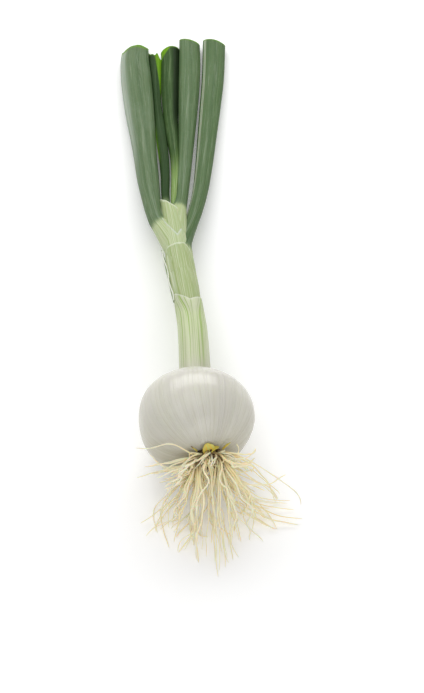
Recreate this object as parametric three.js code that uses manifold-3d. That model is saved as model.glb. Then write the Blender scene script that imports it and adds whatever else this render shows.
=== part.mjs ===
// A fresh white salad onion, pulled and trimmed, lying on its side on a table. Millimetres, +Z up.
// The origin is the middle of the small flat that the bulb rests on. The roots point to -Y, the leaves to +Y.
//
// An onion leaf is a tube at its foot, the sheath, and a hollow blade above it. Each sheath holds the next
// younger leaf, and the oldest sheath swells into the bulb. The leaves leave the neck left and right in turn.
import * as THREE from "three";
import { mergeVertices } from "three/addons/utils/BufferGeometryUtils.js";
import Module from "manifold-3d";

const wasm = await Module();
wasm.setup();

// ---- Driving dimensions ----
const CLEARANCE = 0.3; // left between a piece and what it fits into

const BULB_DIAMETER = 58.2;
const BULB_BASE_DEPTH = 25; // from the widest ring down to the base
const BULB_SHOULDER = 27; // from the widest ring up to where the neck begins
const BULB_FLAT_DEPTH = 0.7; // how far the resting flat is pressed into the round of the bulb

const NECK_FOOT_RADIUS = 8.6; // just above the shoulder
const NECK_TOP_RADIUS = 7.4; // at the collar, where the oldest sheath ends
const SHEATH_WALL = 0.9; // thickness of a sheath's wall at its rim
const COLLAR_SLANT = 3.5; // how much further the collar reaches at its high side

const LEAF_END = 281; // how far from the middle of the bulb the leaves are cut off
const LEAF_WALL = 1; // thickness of a blade's wall round its hollow
const LEAF_PRESS = 0.15; // how far a blade's cut end is pressed flat against the table

const PLATE_RADIUS = 7; // basal plate, the true stem that the roots grow from
const PLATE_THICKNESS = 3.4;
const PLATE_SEAT = 3; // depth of the hollow in the bulb's base that the plate sits in

const ROOT_DIAMETER = 1.1;
const ROOTS = 34;
const ROOT_MARGIN = 1.1; // from the plate's edge to the middle of the outermost roots
const LOWEST_REACH = 27; // how far in front of the plate its lowest roots land
const HIGHEST_REACH = 41; // and the highest of those that reach the table
const FAN_LEFT = 63; // degrees that the fan of roots spreads to the left
const FAN_RIGHT = 76; // and to the right
const AIR_SHARE = 0.62; // roots above this share of the plate's radius stand clear of the table
const AIR_REACH = 27;

const BULB_RADIUS = BULB_DIAMETER / 2;
const ROOT_RADIUS = ROOT_DIAMETER / 2;
const BULB_CENTRE_HEIGHT = BULB_RADIUS - BULB_FLAT_DEPTH;
const BASE_TURN = THREE.MathUtils.degToRad(7); // the base points a little to the right
const BASE_TILT = THREE.MathUtils.degToRad(7); // and a little up, because the leaves sink to the table

// ---- Materials ----
const paint = (color, roughness) => new THREE.MeshStandardMaterial({ color, roughness, metalness: 0 });
const bulbSkin = paint(0xe6e4dc, 0.35);
const leafSkin = paint(0x55793f, 0.55);
const rootSkin = paint(0xe4d6a6, 0.7);
const plateSkin = paint(0x8a6f45, 0.85);

// ---- Solids ----
// A closed geometry as a manifold-3d solid.
function solidOf(geometry) {
  const bare = geometry.clone();
  bare.deleteAttribute("normal");
  bare.deleteAttribute("uv");
  const merged = mergeVertices(bare, 1e-4);
  const mesh = new wasm.Mesh({
    numProp: 3,
    vertProperties: new Float32Array(merged.attributes.position.array),
    triVerts: new Uint32Array(merged.index.array),
  });
  return new wasm.Manifold(mesh);
}

// A manifold-3d solid as a geometry.
function geometryOf(solid) {
  const mesh = solid.getMesh();
  const positions = new Float32Array(mesh.numVert * 3);
  for (let i = 0; i < mesh.numVert; i += 1) {
    positions.set(mesh.vertProperties.subarray(i * mesh.numProp, i * mesh.numProp + 3), i * 3);
  }
  const geometry = new THREE.BufferGeometry();
  geometry.setAttribute("position", new THREE.BufferAttribute(positions, 3));
  geometry.setIndex(new THREE.BufferAttribute(mesh.triVerts, 1));
  geometry.computeVertexNormals();
  return geometry;
}

// A smooth line through points given as [x, y, z].
const lineThrough = (points) =>
  new THREE.CatmullRomCurve3(points.map((p) => new THREE.Vector3(...p)), false, "centripetal");

// A radius that grows from foot to widest at the share peak of the length, and eases to end at the tip. swell
// grows fastest at its foot, as a sheath does. widen grows fastest midway, as a blade does.
const quarterSine = (x) => Math.sin((Math.PI / 2) * x);
const halfWave = (x) => 0.5 - 0.5 * Math.cos(Math.PI * x);
const easeToEnd = (widest, end, x) => end + (widest - end) * quarterSine(1 - x);
const swell = (foot, widest, end, peak) => (t) =>
  t < peak ? foot + (widest - foot) * quarterSine(t / peak) : easeToEnd(widest, end, (t - peak) / (1 - peak));
const widen = (foot, widest, end, peak) => (t) =>
  t < peak ? foot + (widest - foot) * halfWave(t / peak) : easeToEnd(widest, end, (t - peak) / (1 - peak));

// A turned shape bent along a line. The lathe's own axis is the line: its height is the distance along it, its
// x is across and its z is up. flat(t) is height over width. slant moves the far end on by that much on the
// side that facing points to, in degrees from across towards up, and back by as much on the other side.
function bentLathe(profile, sides, line, { flat = () => 1, slant = 0, facing = 0 } = {}) {
  const geometry = new THREE.LatheGeometry(profile.map(([r, s]) => new THREE.Vector2(r, s)), sides);
  const position = geometry.attributes.position;
  const length = line.getLength();
  const turn = THREE.MathUtils.degToRad(facing);
  const high = new THREE.Vector3(Math.cos(turn), 0, Math.sin(turn));
  const vertical = new THREE.Vector3(0, 0, 1);
  const reach = Math.max(...profile.map(([r]) => r));
  for (let i = 0; i < position.count; i += 1) {
    const vertex = new THREE.Vector3().fromBufferAttribute(position, i);
    const share = vertex.y / length;
    const lean = (slant * (vertex.x * high.x + vertex.z * high.z)) / reach;
    const along = share + (lean / length) * Math.max(0, share) ** 6;
    const inside = THREE.MathUtils.clamp(along, 0, 1);
    const tangent = line.getTangentAt(inside);
    const across = new THREE.Vector3().crossVectors(tangent, vertical).normalize();
    const up = new THREE.Vector3().crossVectors(across, tangent);
    const point = line
      .getPointAt(inside)
      .addScaledVector(tangent, (along - inside) * length) // straight on past either end
      .addScaledVector(across, vertex.x)
      .addScaledVector(up, vertex.z * flat(inside));
    position.setXYZ(i, point.x, point.y, point.z);
  }
  return geometry;
}

// The profile of a stalk with a closed foot and a cut end, from one share of its line to another, grown all round.
function stalkProfile(length, radiusAt, rings, from = 0, to = 1, grow = 0) {
  const wall = Array.from({ length: rings + 1 }, (_, k) => {
    const t = from + ((to - from) * k) / rings;
    return [radiusAt(t) + grow, t * length + (k === 0 ? -grow : 0) + (k === rings ? grow : 0)];
  });
  return [[0, wall[0][1]], ...wall, [0, wall[rings][1]]];
}

// A stalk as a solid. shape holds line, radius, flat, slant and facing.
function stalk(shape, { rings = 12, sides = 16, from = 0, to = 1, grow = 0 } = {}) {
  const profile = stalkProfile(shape.line.getLength(), shape.radius, rings, from, to, grow);
  return solidOf(bentLathe(profile, sides, shape.line, shape));
}

// Everything under the table top, which trims what rests on it to a flat.
const TABLE_BLOCK = 800;
const underTable = solidOf(new THREE.BoxGeometry(TABLE_BLOCK, TABLE_BLOCK, 20).translate(0, 0, -10));
const restOnTable = (solid) => solid.subtract(underTable);

// ---- The bulb, with the oldest sheath as its neck ----
const bulbCentre = new THREE.Vector3(0, 0, BULB_CENTRE_HEIGHT);
const baseDirection = new THREE.Vector3(
  Math.sin(BASE_TURN) * Math.cos(BASE_TILT),
  -Math.cos(BASE_TURN) * Math.cos(BASE_TILT),
  Math.sin(BASE_TILT),
);
const basePole = bulbCentre.clone().addScaledVector(baseDirection, BULB_BASE_DEPTH);
const neckPoints = [[2.3, 35, 25.4], [3.5, 60, 23.4], [3.1, 79, 21.4]];
const neckLine = lineThrough([basePole.toArray(), bulbCentre.toArray(), ...neckPoints]);
const neckLength = neckLine.getLength();

// Radius at a distance from the base: a quarter ellipse up to the widest ring, then a full, round shoulder that
// turns in sharply and runs out into the neck.
function bulbRadiusAt(s) {
  if (s < BULB_BASE_DEPTH) return BULB_RADIUS * Math.sqrt(1 - (1 - s / BULB_BASE_DEPTH) ** 2);
  const neckShare = (s - BULB_BASE_DEPTH) / (neckLength - BULB_BASE_DEPTH);
  const neckRadius = THREE.MathUtils.lerp(NECK_FOOT_RADIUS, NECK_TOP_RADIUS, neckShare);
  const shoulderShare = Math.min(1, (s - BULB_BASE_DEPTH) / BULB_SHOULDER);
  return neckRadius + (BULB_RADIUS - neckRadius) * (1 - shoulderShare ** 3) ** 1.5;
}

function makeBulb() {
  const seatRadius = PLATE_RADIUS + CLEARANCE;
  const rim = BULB_BASE_DEPTH * (1 - Math.sqrt(1 - (seatRadius / BULB_RADIUS) ** 2)); // depth of the seat's edge
  const lower = [0, 0.15, 0.35, 0.6, 0.8, 1].map((t) => rim + (BULB_BASE_DEPTH - rim) * t ** 1.6);
  const shoulder = [0.2, 0.38, 0.52, 0.64, 0.75, 0.86, 1].map((t) => BULB_BASE_DEPTH + BULB_SHOULDER * t);
  const neckStart = BULB_BASE_DEPTH + BULB_SHOULDER;
  const neck = [0.2, 0.4, 0.6, 0.8, 1].map((t) => neckStart + (neckLength - neckStart) * t);
  const skin = [...lower, ...shoulder, ...neck].map((s) => [bulbRadiusAt(s), s]);
  const profile = [[0, PLATE_SEAT], [seatRadius, PLATE_SEAT], ...skin, [0, neckLength]];
  return restOnTable(solidOf(bentLathe(profile, 32, neckLine, { slant: COLLAR_SLANT, facing: 170 })));
}

function makePlate() {
  const top = PLATE_SEAT - CLEARANCE;
  const face = top - PLATE_THICKNESS;
  const profile = [[0, face], [PLATE_RADIUS - 1, face], [PLATE_RADIUS, face + 1], [PLATE_RADIUS, top], [0, top]];
  return solidOf(bentLathe(profile, 16, neckLine));
}

// ---- Leaves ----
// A blade's line. It leaves the neck at the height foot, a distance start from the middle of the bulb, and sinks
// to the table at the cut end. across holds how far it is to the right at equal steps along it.
function bladeLine({ start, foot, across, tipHeight, overrun = 0 }) {
  const steps = across.length - 1;
  const points = across.map((x, k) => {
    const share = k / steps;
    const y = THREE.MathUtils.lerp(start, LEAF_END + overrun, share);
    return [x, y, tipHeight + (foot - tipHeight) * (1 - share) ** 1.8];
  });
  return lineThrough(points);
}

// A blade: thinner than it is wide, more so towards the cut end, where it lies on the table.
function makeBladeShape({ radius, footFlat, tipFlat, slant, facing, ...course }) {
  const flat = (t) => THREE.MathUtils.lerp(footFlat, tipFlat, Math.min(1, t * 1.6));
  const tipHeight = radius(1) * flat(1) - LEAF_PRESS;
  return { line: bladeLine({ ...course, tipHeight }), radius, flat, slant, facing };
}

const outerRightBlade = makeBladeShape({
  start: 109,
  foot: 17,
  across: [5.2, 13, 20.6, 27.3, 33.2, 38.4],
  overrun: 2,
  radius: widen(2.6, 6.9, 6.7, 0.95),
  footFlat: 0.75,
  tipFlat: 0.58,
  slant: 2,
  facing: 180,
});
const leftBlade = makeBladeShape({
  start: 119,
  foot: 17.2,
  across: [-2.6, -9.2, -10.4, -10.5, -10.4, -8.2],
  radius: widen(4, 8.7, 7.3, 0.8),
  footFlat: 0.8,
  tipFlat: 0.58,
  slant: -1.5,
  facing: 0,
});
const innerRightBlade = makeBladeShape({
  start: 137,
  foot: 15.7,
  across: [4.4, 8.2, 12, 15.8, 19.6, 22.9],
  radius: widen(2.8, 6.3, 6.1, 0.85),
  footFlat: 0.8,
  tipFlat: 0.6,
  slant: -2,
  facing: 0,
});
const middleBlade = makeBladeShape({
  start: 138,
  foot: 15.6,
  across: [2.2, 4.5, 6.7, 7.3, 8.9, 11.9],
  radius: widen(2, 4.1, 4.1, 0.8),
  footFlat: 0.95,
  tipFlat: 0.72,
  slant: 1.5,
  facing: 180,
});
const narrowBlade = makeBladeShape({
  start: 138,
  foot: 15.8,
  across: [-2.3, -1.7, -0.5, 0, 0.4, 2],
  radius: widen(1.9, 2.7, 2.9, 0.9),
  footFlat: 0.9,
  tipFlat: 0.75,
  slant: 1,
  facing: 180,
});

// A sheath that is held in the rim of the next older one, which has rimRadius, and swells above it by share.
const heldSheath = (rimRadius, share, peak) => {
  const foot = rimRadius - SHEATH_WALL - CLEARANCE;
  return swell(foot, foot * share, foot * (share - 0.03), peak);
};
const outerRightSheath = {
  line: lineThrough([[3.3, 71, 22.3], [3.1, 79, 21.4], [2.1, 97, 19.5], [1.4, 114, 17.8]]),
  radius: heldSheath(NECK_TOP_RADIUS, 1.21, 0.7),
  flat: () => 1,
  slant: -2,
  facing: 0,
};
const leftSheath = {
  line: lineThrough([[1.9, 100, 19.2], [1.3, 112, 18], [0.9, 126.5, 16.6]]),
  radius: heldSheath(outerRightSheath.radius(1), 1.12, 0.7),
  flat: () => 0.95,
  slant: 5,
  facing: 190,
};
const innerRightSheath = {
  line: lineThrough([[1, 114, 17.7], [1.2, 126, 16.6], [1.3, 139, 15.3], [1, 151.5, 14.1]]),
  radius: heldSheath(leftSheath.radius(1), 1.2, 0.75),
  flat: () => 0.85,
  slant: 4,
  facing: 180,
};

// The solid of a blade, hollow from a share of its length to its open cut end.
function makeBlade(blade, hollowFrom = 0.3) {
  const cavity = { ...blade, radius: (t) => blade.radius(t) - LEAF_WALL, flat: (t) => hollowFlat(blade, t) };
  const outside = stalk(blade, { rings: 12 });
  const inside = stalk(cavity, { rings: 9, sides: 12, from: hollowFrom, to: 1 + 2 / blade.line.getLength() });
  return restOnTable(outside.subtract(inside));
}

// Height over width of the hollow, which keeps the same wall above and below as at the sides.
function hollowFlat(blade, t) {
  const width = blade.radius(t);
  return (width * blade.flat(t) - LEAF_WALL) / (width - LEAF_WALL);
}

const grown = (shape) => stalk(shape, { rings: 10, sides: 16, grow: CLEARANCE });

// Each older leaf is cut to hold the younger ones with the clearance.
const younger = [narrowBlade, middleBlade, innerRightBlade, innerRightSheath, leftBlade, leftSheath].map(grown);
const cutFor = (solid, count) => younger.slice(0, count).reduce((left, held) => left.subtract(held), solid);
const narrowLeaf = makeBlade(narrowBlade);
const middleLeaf = makeBlade(middleBlade);
const innerRightLeaf = cutFor(stalk(innerRightSheath, { rings: 7 }).add(makeBlade(innerRightBlade)), 2);
const leftLeaf = cutFor(stalk(leftSheath, { rings: 7 }).add(makeBlade(leftBlade)), 4);
const outerRightLeaf = cutFor(stalk(outerRightSheath, { rings: 8 }).add(makeBlade(outerRightBlade)), 6);

// What is left of the oldest leaf's blade: a dry strip that runs up beside the neck from the collar.
const collarLeft = neckPoints.at(-1)[0] - NECK_TOP_RADIUS;
const dryStrip = stalk(
  {
    line: lineThrough([
      [collarLeft + 0.3, 72, 22.6],
      [collarLeft - 0.8, 82, 21.5],
      [collarLeft - 2.6, 97, 19.6],
      [collarLeft - 4, 113, 17.5],
    ]),
    radius: swell(0.7, 0.75, 0.45, 0.4),
    flat: () => 2.2,
  },
  { rings: 7, sides: 10 },
);
const bulb = makeBulb().add(dryStrip).subtract(grown(outerRightSheath)).subtract(grown(leftBlade));

// ---- Roots ----
const plateRight = new THREE.Vector3().crossVectors(new THREE.Vector3(0, 0, 1), baseDirection).normalize();
const plateUp = new THREE.Vector3().crossVectors(baseDirection, plateRight).normalize();
const rootStart = basePole
  .clone()
  .addScaledVector(baseDirection, PLATE_THICKNESS - PLATE_SEAT + CLEARANCE + CLEARANCE);

// A point just off the plate's face, right and up from its middle.
const onPlate = (right, up) => rootStart.clone().addScaledVector(plateRight, right).addScaledVector(plateUp, up);

// A round strand along a path.
function strand(path) {
  const section = new THREE.Shape().absarc(0, 0, ROOT_RADIUS, 0, 2 * Math.PI, false);
  const outline = new THREE.Shape(section.getSpacedPoints(6).slice(0, 6));
  return new THREE.ExtrudeGeometry(outline, { extrudePath: path, steps: 9, bevelEnabled: false });
}

// A number from -1 to 1 for each n, evenly spread but in no order, so that no two roots grow alike.
const vary = (n) => 2 * ((n * 0.618034) % 1) - 1;

// The nth root. right and up are its place on the plate as shares of the radius, and side is its place in the fan
// from -1, the left, to 1, the right. It arches out and lies down on the table, or, if it grows from the top of
// the plate, springs out sideways round the bulb and hangs clear of the table.
function root(n) {
  const radius = Math.sqrt((n + 0.5) / ROOTS);
  const turn = n * Math.PI * (3 - Math.sqrt(5)); // the golden angle, which spreads them evenly over a disc
  const right = radius * Math.cos(turn);
  const up = radius * Math.sin(turn);
  const side = right / Math.sqrt(1 - up * up);
  const inAir = up > AIR_SHARE;
  const height = (up + 1) / (AIR_SHARE + 1);
  const spread = side * (side < 0 ? FAN_LEFT : FAN_RIGHT) + (inAir ? 26 * side + 6 * vary(n + 9) : 3 * vary(n + 10));
  const angle = THREE.MathUtils.degToRad(spread);
  const out = new THREE.Vector3(Math.sin(angle), -Math.cos(angle), 0);
  const aside = new THREE.Vector3(-out.y, out.x, 0);
  const rim = PLATE_RADIUS - ROOT_MARGIN;
  const start = onPlate(right * rim, up * rim);

  if (inAir) {
    const reach = AIR_REACH * (1 + 0.15 * vary(n + 23));
    const lift = (6 * (up - AIR_SHARE)) / (1 - AIR_SHARE);
    const end = start.clone().addScaledVector(out, reach).setZ(start.z - 13 + 5 * Math.abs(side) + lift);
    const leave = start.clone().addScaledVector(baseDirection, 10).addScaledVector(out, 7).setZ(start.z + 2 + lift);
    const bend = end.clone().addScaledVector(out, -9).setZ(start.z - 2 + lift);
    return strand(new THREE.CubicBezierCurve3(start, leave, bend, end));
  }
  const land = ROOT_RADIUS + 0.05;
  const meanReach = THREE.MathUtils.lerp(LOWEST_REACH, HIGHEST_REACH, height);
  const reach = meanReach * (1 + 0.07 * side + 0.08 * vary(n + 16));
  const end = start.clone().addScaledVector(out, reach).setZ(land);
  const leave = start
    .clone()
    .addScaledVector(baseDirection, 7 + 6 * height)
    .addScaledVector(out, 4 + 6 * height)
    .addScaledVector(aside, 1.5 * vary(n + 28));
  const settle = end
    .clone()
    .addScaledVector(out, -0.42 * reach)
    .addScaledVector(aside, 2.5 * vary(n + 29))
    .setZ(land + 3 * height);
  return strand(new THREE.CubicBezierCurve3(start, leave, settle, end));
}

// ---- The object ----
const onion = new THREE.Group();
function addPiece(name, geometry, material) {
  const mesh = new THREE.Mesh(geometry, material);
  mesh.name = name;
  onion.add(mesh);
}

addPiece("bulb", geometryOf(bulb), bulbSkin);
addPiece("basal_plate", geometryOf(makePlate()), plateSkin);
addPiece("outer_right_leaf", geometryOf(outerRightLeaf), leafSkin);
addPiece("left_leaf", geometryOf(leftLeaf), leafSkin);
addPiece("inner_right_leaf", geometryOf(innerRightLeaf), leafSkin);
addPiece("middle_leaf", geometryOf(middleLeaf), leafSkin);
addPiece("narrow_leaf", geometryOf(narrowLeaf), leafSkin);

for (let n = 0; n < ROOTS; n += 1) {
  addPiece(`root_${String(n + 1).padStart(2, "0")}`, root(n), rootSkin);
}

export default onion;
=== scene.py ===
import math

import bpy
import numpy as np
from bpy.props import FloatProperty, FloatVectorProperty, IntProperty, PointerProperty
from bpy.types import Operator, Panel, PropertyGroup
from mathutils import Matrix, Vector


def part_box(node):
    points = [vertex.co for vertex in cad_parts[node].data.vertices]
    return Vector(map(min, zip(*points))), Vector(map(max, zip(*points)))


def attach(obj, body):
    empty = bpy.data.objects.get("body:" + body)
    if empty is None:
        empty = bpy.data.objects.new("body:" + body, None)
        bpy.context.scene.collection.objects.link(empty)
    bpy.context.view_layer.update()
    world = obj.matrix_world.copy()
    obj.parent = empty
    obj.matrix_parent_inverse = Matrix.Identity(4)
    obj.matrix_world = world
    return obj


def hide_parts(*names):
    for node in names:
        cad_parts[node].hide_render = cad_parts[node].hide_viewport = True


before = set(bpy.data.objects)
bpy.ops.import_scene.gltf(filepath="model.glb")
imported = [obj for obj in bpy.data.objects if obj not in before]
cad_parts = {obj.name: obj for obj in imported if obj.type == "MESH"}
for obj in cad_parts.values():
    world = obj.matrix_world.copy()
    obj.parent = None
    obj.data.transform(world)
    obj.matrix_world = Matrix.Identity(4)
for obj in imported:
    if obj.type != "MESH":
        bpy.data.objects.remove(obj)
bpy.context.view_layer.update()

# A fresh white salad onion, lying on its side. The roots point to -Y, the leaves to +Y.
# Shapes are worked out in millimetres in the frame's own axes and put into the meshes in metres.

bl_info = {
    "name": "Fresh White Onion",
    "version": (1, 0, 0),
    "blender": (4, 5, 0),
    "location": "3D View > Sidebar > Onion",
    "description": "Builds the skin, leaves and roots of a fresh white salad onion round its packed frame",
    "category": "Add Mesh",
}

MM = 0.001
BULB_LOW, BULB_HIGH = (np.array(corner, float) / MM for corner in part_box("bulb"))
BULB_WIDTH = BULB_HIGH[0] - BULB_LOW[0]
BASE_DEPTH = 25  # from the bulb's widest ring down to its base
ROOT_NODES = sorted(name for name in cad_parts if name.startswith("root_"))


def paint(red, green, blue):
    """A colour given in display values from 0 to 255, as the linear values that the shaders use."""
    shares = (value / 255 for value in (red, green, blue))
    return tuple(s / 12.92 if s <= 0.04045 else ((s + 0.055) / 1.055) ** 2.4 for s in shares)


# ---------------------------------------------------------------- settings


def number(name, description, default, **more):
    """A plain number property."""
    return FloatProperty(name=name, description=description, default=default, **more)


def whole(name, description, default):
    """A whole number property, never below 0."""
    return IntProperty(name=name, description=description, default=default, min=0)


def length(name, description, default, **limits):
    """A length property. The default is in millimetres."""
    return number(name, description, default * MM, precision=5, subtype="DISTANCE", unit="LENGTH", **limits)


def bearing(name, description, degrees):
    """An angle property. The default is in degrees."""
    return number(name, description, math.radians(degrees), subtype="ANGLE")


def power(name, description, watts):
    """A light's power."""
    return number(name, description, watts, min=0, subtype="POWER", unit="POWER")


def colour(name, description, red, green, blue):
    """A colour property. The default is in display values from 0 to 255."""
    default = paint(red, green, blue)
    return FloatVectorProperty(
        name=name, description=description, default=default, size=3, min=0, max=1, subtype="COLOR"
    )


class OnionSizes(PropertyGroup):
    bulb_diameter: length("Bulb diameter", "Width of the bulb at its widest ring", BULB_WIDTH, min=0.02)
    base_depth: length("Base depth", "From the widest ring down to the base", BASE_DEPTH)
    shoulder: length("Shoulder", "From the widest ring up to where the neck begins", 27)
    neck_foot: length("Neck foot radius", "Radius of the neck just above the shoulder", 8.6)
    neck_top: length("Neck top radius", "Radius of the neck at the collar", 7.4)
    rib_height: length("Rib height", "How far the fine ribs of the bulb stand out", 0.07)
    rim_wall: length("Rim wall", "Thickness of a sheath at its rim", 0.55)
    leaf_wall: length("Leaf wall", "Thickness of a blade at its cut end", 0.95)
    plate_radius: length("Basal plate radius", "Radius of the brown plate that the roots grow from", 7)


class RootSettings(PropertyGroup):
    thick: length("Root thickness", "Diameter of a main root where it leaves the plate", 1.12)
    thin: length("Fine root thickness", "Diameter of a fine root where it leaves the plate", 0.85)
    tuft_count: whole("Tuft roots", "How many short roots crowd the basal plate", 60)
    fullness: number("Fullness", "How many fine roots each bunch has, against the usual number", 1, min=0)
    waviness: length("Waviness", "How far a root wanders from its smooth path", 1.1)
    seed: whole("Seed", "Picks another growth of the same roots", 11)


class OnionColours(PropertyGroup):
    bulb: colour("Bulb", "Skin of the bulb", 218, 216, 204)
    bulb_shade: colour("Bulb veins", "Veins and thicker parts of the bulb's skin", 198, 196, 174)
    neck: colour("Neck", "Pale green between the veins of the neck", 206, 216, 172)
    neck_vein: colour("Neck veins", "Veins that run up the neck", 146, 180, 66)
    sheath: colour("Sheaths", "Yellow green of the younger sheaths", 186, 198, 152)
    sheath_vein: colour("Sheath veins", "Veins of the younger sheaths", 146, 168, 98)
    membrane: colour("Rims", "Thin whitish rims of the sheaths", 222, 228, 206)
    leaf: colour("Leaf", "Green of the blades", 90, 114, 74)
    leaf_deep: colour("Leaf grooves", "Darker green between the ribs of a blade", 62, 92, 46)
    bloom: colour("Bloom", "Waxy grey bloom on the blades", 120, 138, 110)
    cut: colour("Cut edge", "Bright green of the cut ends and hollows", 112, 160, 8)
    root: colour("Root", "Cream of the roots", 252, 242, 208)
    root_foot: colour("Root foot", "Yellower cream where the roots leave the plate", 246, 228, 166)
    plate: colour("Basal plate", "Brown of the basal plate", 104, 76, 42)
    plate_dark: colour("Basal plate spots", "Nearly black spots on the basal plate", 34, 24, 15)
    scrap: colour("Skin scraps", "Yellow green scraps of old skin at the base", 208, 206, 96)


class StageSettings(PropertyGroup):
    azimuth: bearing("Camera azimuth", "Turn of the camera about the onion", -6)
    elevation: bearing("Camera elevation", "Height of the camera above the table", 55)
    lens: number("Lens", "Focal length of the camera, in millimetres", 93.5, min=1, subtype="DISTANCE_CAMERA")
    distance: length("Camera distance", "From the camera to the middle of the bulb, in depth", 900)
    sky: number("Sky", "Strength of the even white light from all round", 0.46, min=0)
    overhead: power("Overhead light", "Power of the wide soft light above", 3.9)
    back: power("Back light", "Power of the soft light behind the leaves", 8.5)
    front: power("Front light", "Power of the soft light in front of the roots", 2.6)
    floor: colour("Floor", "Pale table top", 252, 252, 252)


# ---------------------------------------------------------------- shapes


def ease(low, high, x):
    """0 below low, 1 above high, and a smooth step between: t squared times (3 - 2t)."""
    t = np.clip((np.asarray(x, float) - low) / (high - low), 0, 1)
    return t * t * (3 - 2 * t)


def around(theta, degrees):
    """The angle from theta to a place given in degrees, the short way round, from -180 to 180 degrees."""
    return (np.degrees(theta) - degrees + 180) % 360 - 180


def table_of(theta, stops):
    """A value at each angle, by straight lines between stops of (degrees, value) that run right round."""
    degrees, values = np.array(sorted(stops), float).T
    return np.interp(np.degrees(theta) % 360, degrees % 360, values, period=360)


def ripple(theta, along, counts, seed, drift=0.02):
    """A sum of waves round a stalk, each with a whole number of crests, that drift slowly along it. About -1 to 1."""
    picks = np.random.RandomState(seed)
    total = 0
    for count in counts:
        phase, lean, swing = picks.rand(3) * (2 * math.pi, 2, 2 * math.pi)
        total = total + np.sin(count * theta + phase + (lean - 1) * drift * along + 0.7 * np.sin(along * drift + swing))
    return total / len(counts)


class Course:
    """A smooth line through stations of (x, y, z, values...), by distance along it.

    Between stations it is a centripetal Catmull-Rom curve: a cubic whose slope at each station follows its
    neighbours, weighted by the square root of the distance to them. The values after z follow the same curve.
    """

    def __init__(self, stations, steps=24):
        rows = np.array(stations, float)
        rows = np.vstack([2 * rows[0] - rows[1], rows, 2 * rows[-1] - rows[-2]])
        gaps = np.linalg.norm(np.diff(rows[:, :3], axis=0), axis=1)[:, None] ** 0.5
        before, here, after = gaps[:-2], gaps[1:-1], gaps[2:]
        p0, p1, p2, p3 = rows[:-3], rows[1:-2], rows[2:-1], rows[3:]
        m1 = ((p1 - p0) / before - (p2 - p0) / (before + here) + (p2 - p1) / here) * here
        m2 = ((p2 - p1) / here - (p3 - p1) / (here + after) + (p3 - p2) / after) * here
        t = (np.arange(steps) / steps)[:, None, None]
        curve = p1 + m1 * t + (3 * (p2 - p1) - 2 * m1 - m2) * t**2 + (2 * (p1 - p2) + m1 + m2) * t**3
        curve = np.vstack([curve.transpose(1, 0, 2).reshape(-1, rows.shape[1]), rows[-2]])
        pace = np.linalg.norm(np.diff(curve[:, :3], axis=0), axis=1)
        self.distance = np.concatenate([[0], np.cumsum(pace)])
        self.length = self.distance[-1]
        self.curve = curve
        self.tangent = np.gradient(curve[:, :3], self.distance, axis=0)

    def _read(self, columns, s):
        return np.stack([np.interp(s, self.distance, column) for column in columns.T], -1)

    def at(self, s):
        """Points at distances s, straight on past either end, with the unit vectors along, across and up there."""
        s = np.asarray(s, float)
        inside = np.clip(s, 0, self.length)
        along = self._read(self.tangent, inside)
        along /= np.linalg.norm(along, axis=-1, keepdims=True)
        across = np.cross(along, (0, 0, 1))
        across /= np.linalg.norm(across, axis=-1, keepdims=True)
        points = self._read(self.curve[:, :3], inside) + along * (s - inside)[..., None]
        return points, along, across, np.cross(across, along)

    def value(self, column, s):
        """The station value after z with that number, at distances s."""
        return np.interp(s, self.distance, self.curve[:, 3 + column])

    def reach(self, y):
        """The distance at which the line gets to y, straight on past its end."""
        y = np.asarray(y, float)
        slope = self.tangent[-1] / np.linalg.norm(self.tangent[-1])
        return np.interp(y, self.curve[:, 1], self.distance) + np.maximum(0, y - self.curve[-1, 1]) / slope[1]


class Wall:
    """Rows of a tube's wall: out along the outside from start to end, over a rounded lip, and back down inside.

    theta is the angle from across towards up. Every row holds, for each theta, its distance along the course, how
    far it is set in from the outside, and inner: 0 outside, rising over the lip to 1 inside.
    """

    def __init__(self, start, end, wall, depth, rows=110, sides=96, lip=5, back=14):
        theta = np.arange(sides) * 2 * math.pi / sides
        end = end(theta) if callable(end) else np.full(sides, float(end))
        out = np.linspace(0, 1, rows)[:, None]
        turn = np.linspace(0, math.pi, lip + 2)[1:-1, None]
        down = np.linspace(0, 1, back)[:, None]
        level = np.ones(sides)
        self.theta = theta[None, :] * np.ones((rows + lip + back, 1))
        self.s = np.vstack([start + (end - start) * out, end + wall / 2 * np.sin(turn) * level, end - depth * down])
        self.inset = np.vstack([0 * out * level, wall / 2 * (1 - np.cos(turn)) * level, wall * level + 0 * down])
        self.inner = np.vstack([0 * out * level, turn / math.pi * level, level + 0 * down])
        self.end = np.ones_like(self.s) * end


def grid_faces(rows, sides):
    """Quads of a grid that is closed round its sides, as vertex numbers, with a fan to one more vertex at each end."""
    row, side = np.meshgrid(np.arange(rows - 1), np.arange(sides), indexing="ij")
    here, beside = row * sides + side, row * sides + (side + 1) % sides
    quads = np.stack([here, here + sides, beside + sides, beside], -1).reshape(-1, 4)
    side = np.arange(sides)
    beside = (side + 1) % sides
    first, last = rows * sides, rows * sides + 1
    foot = np.stack([np.full(sides, first), side, beside], -1)
    top = np.stack([np.full(sides, last), beside + (rows - 1) * sides, side + (rows - 1) * sides], -1)
    return quads, np.vstack([foot, top])


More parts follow.
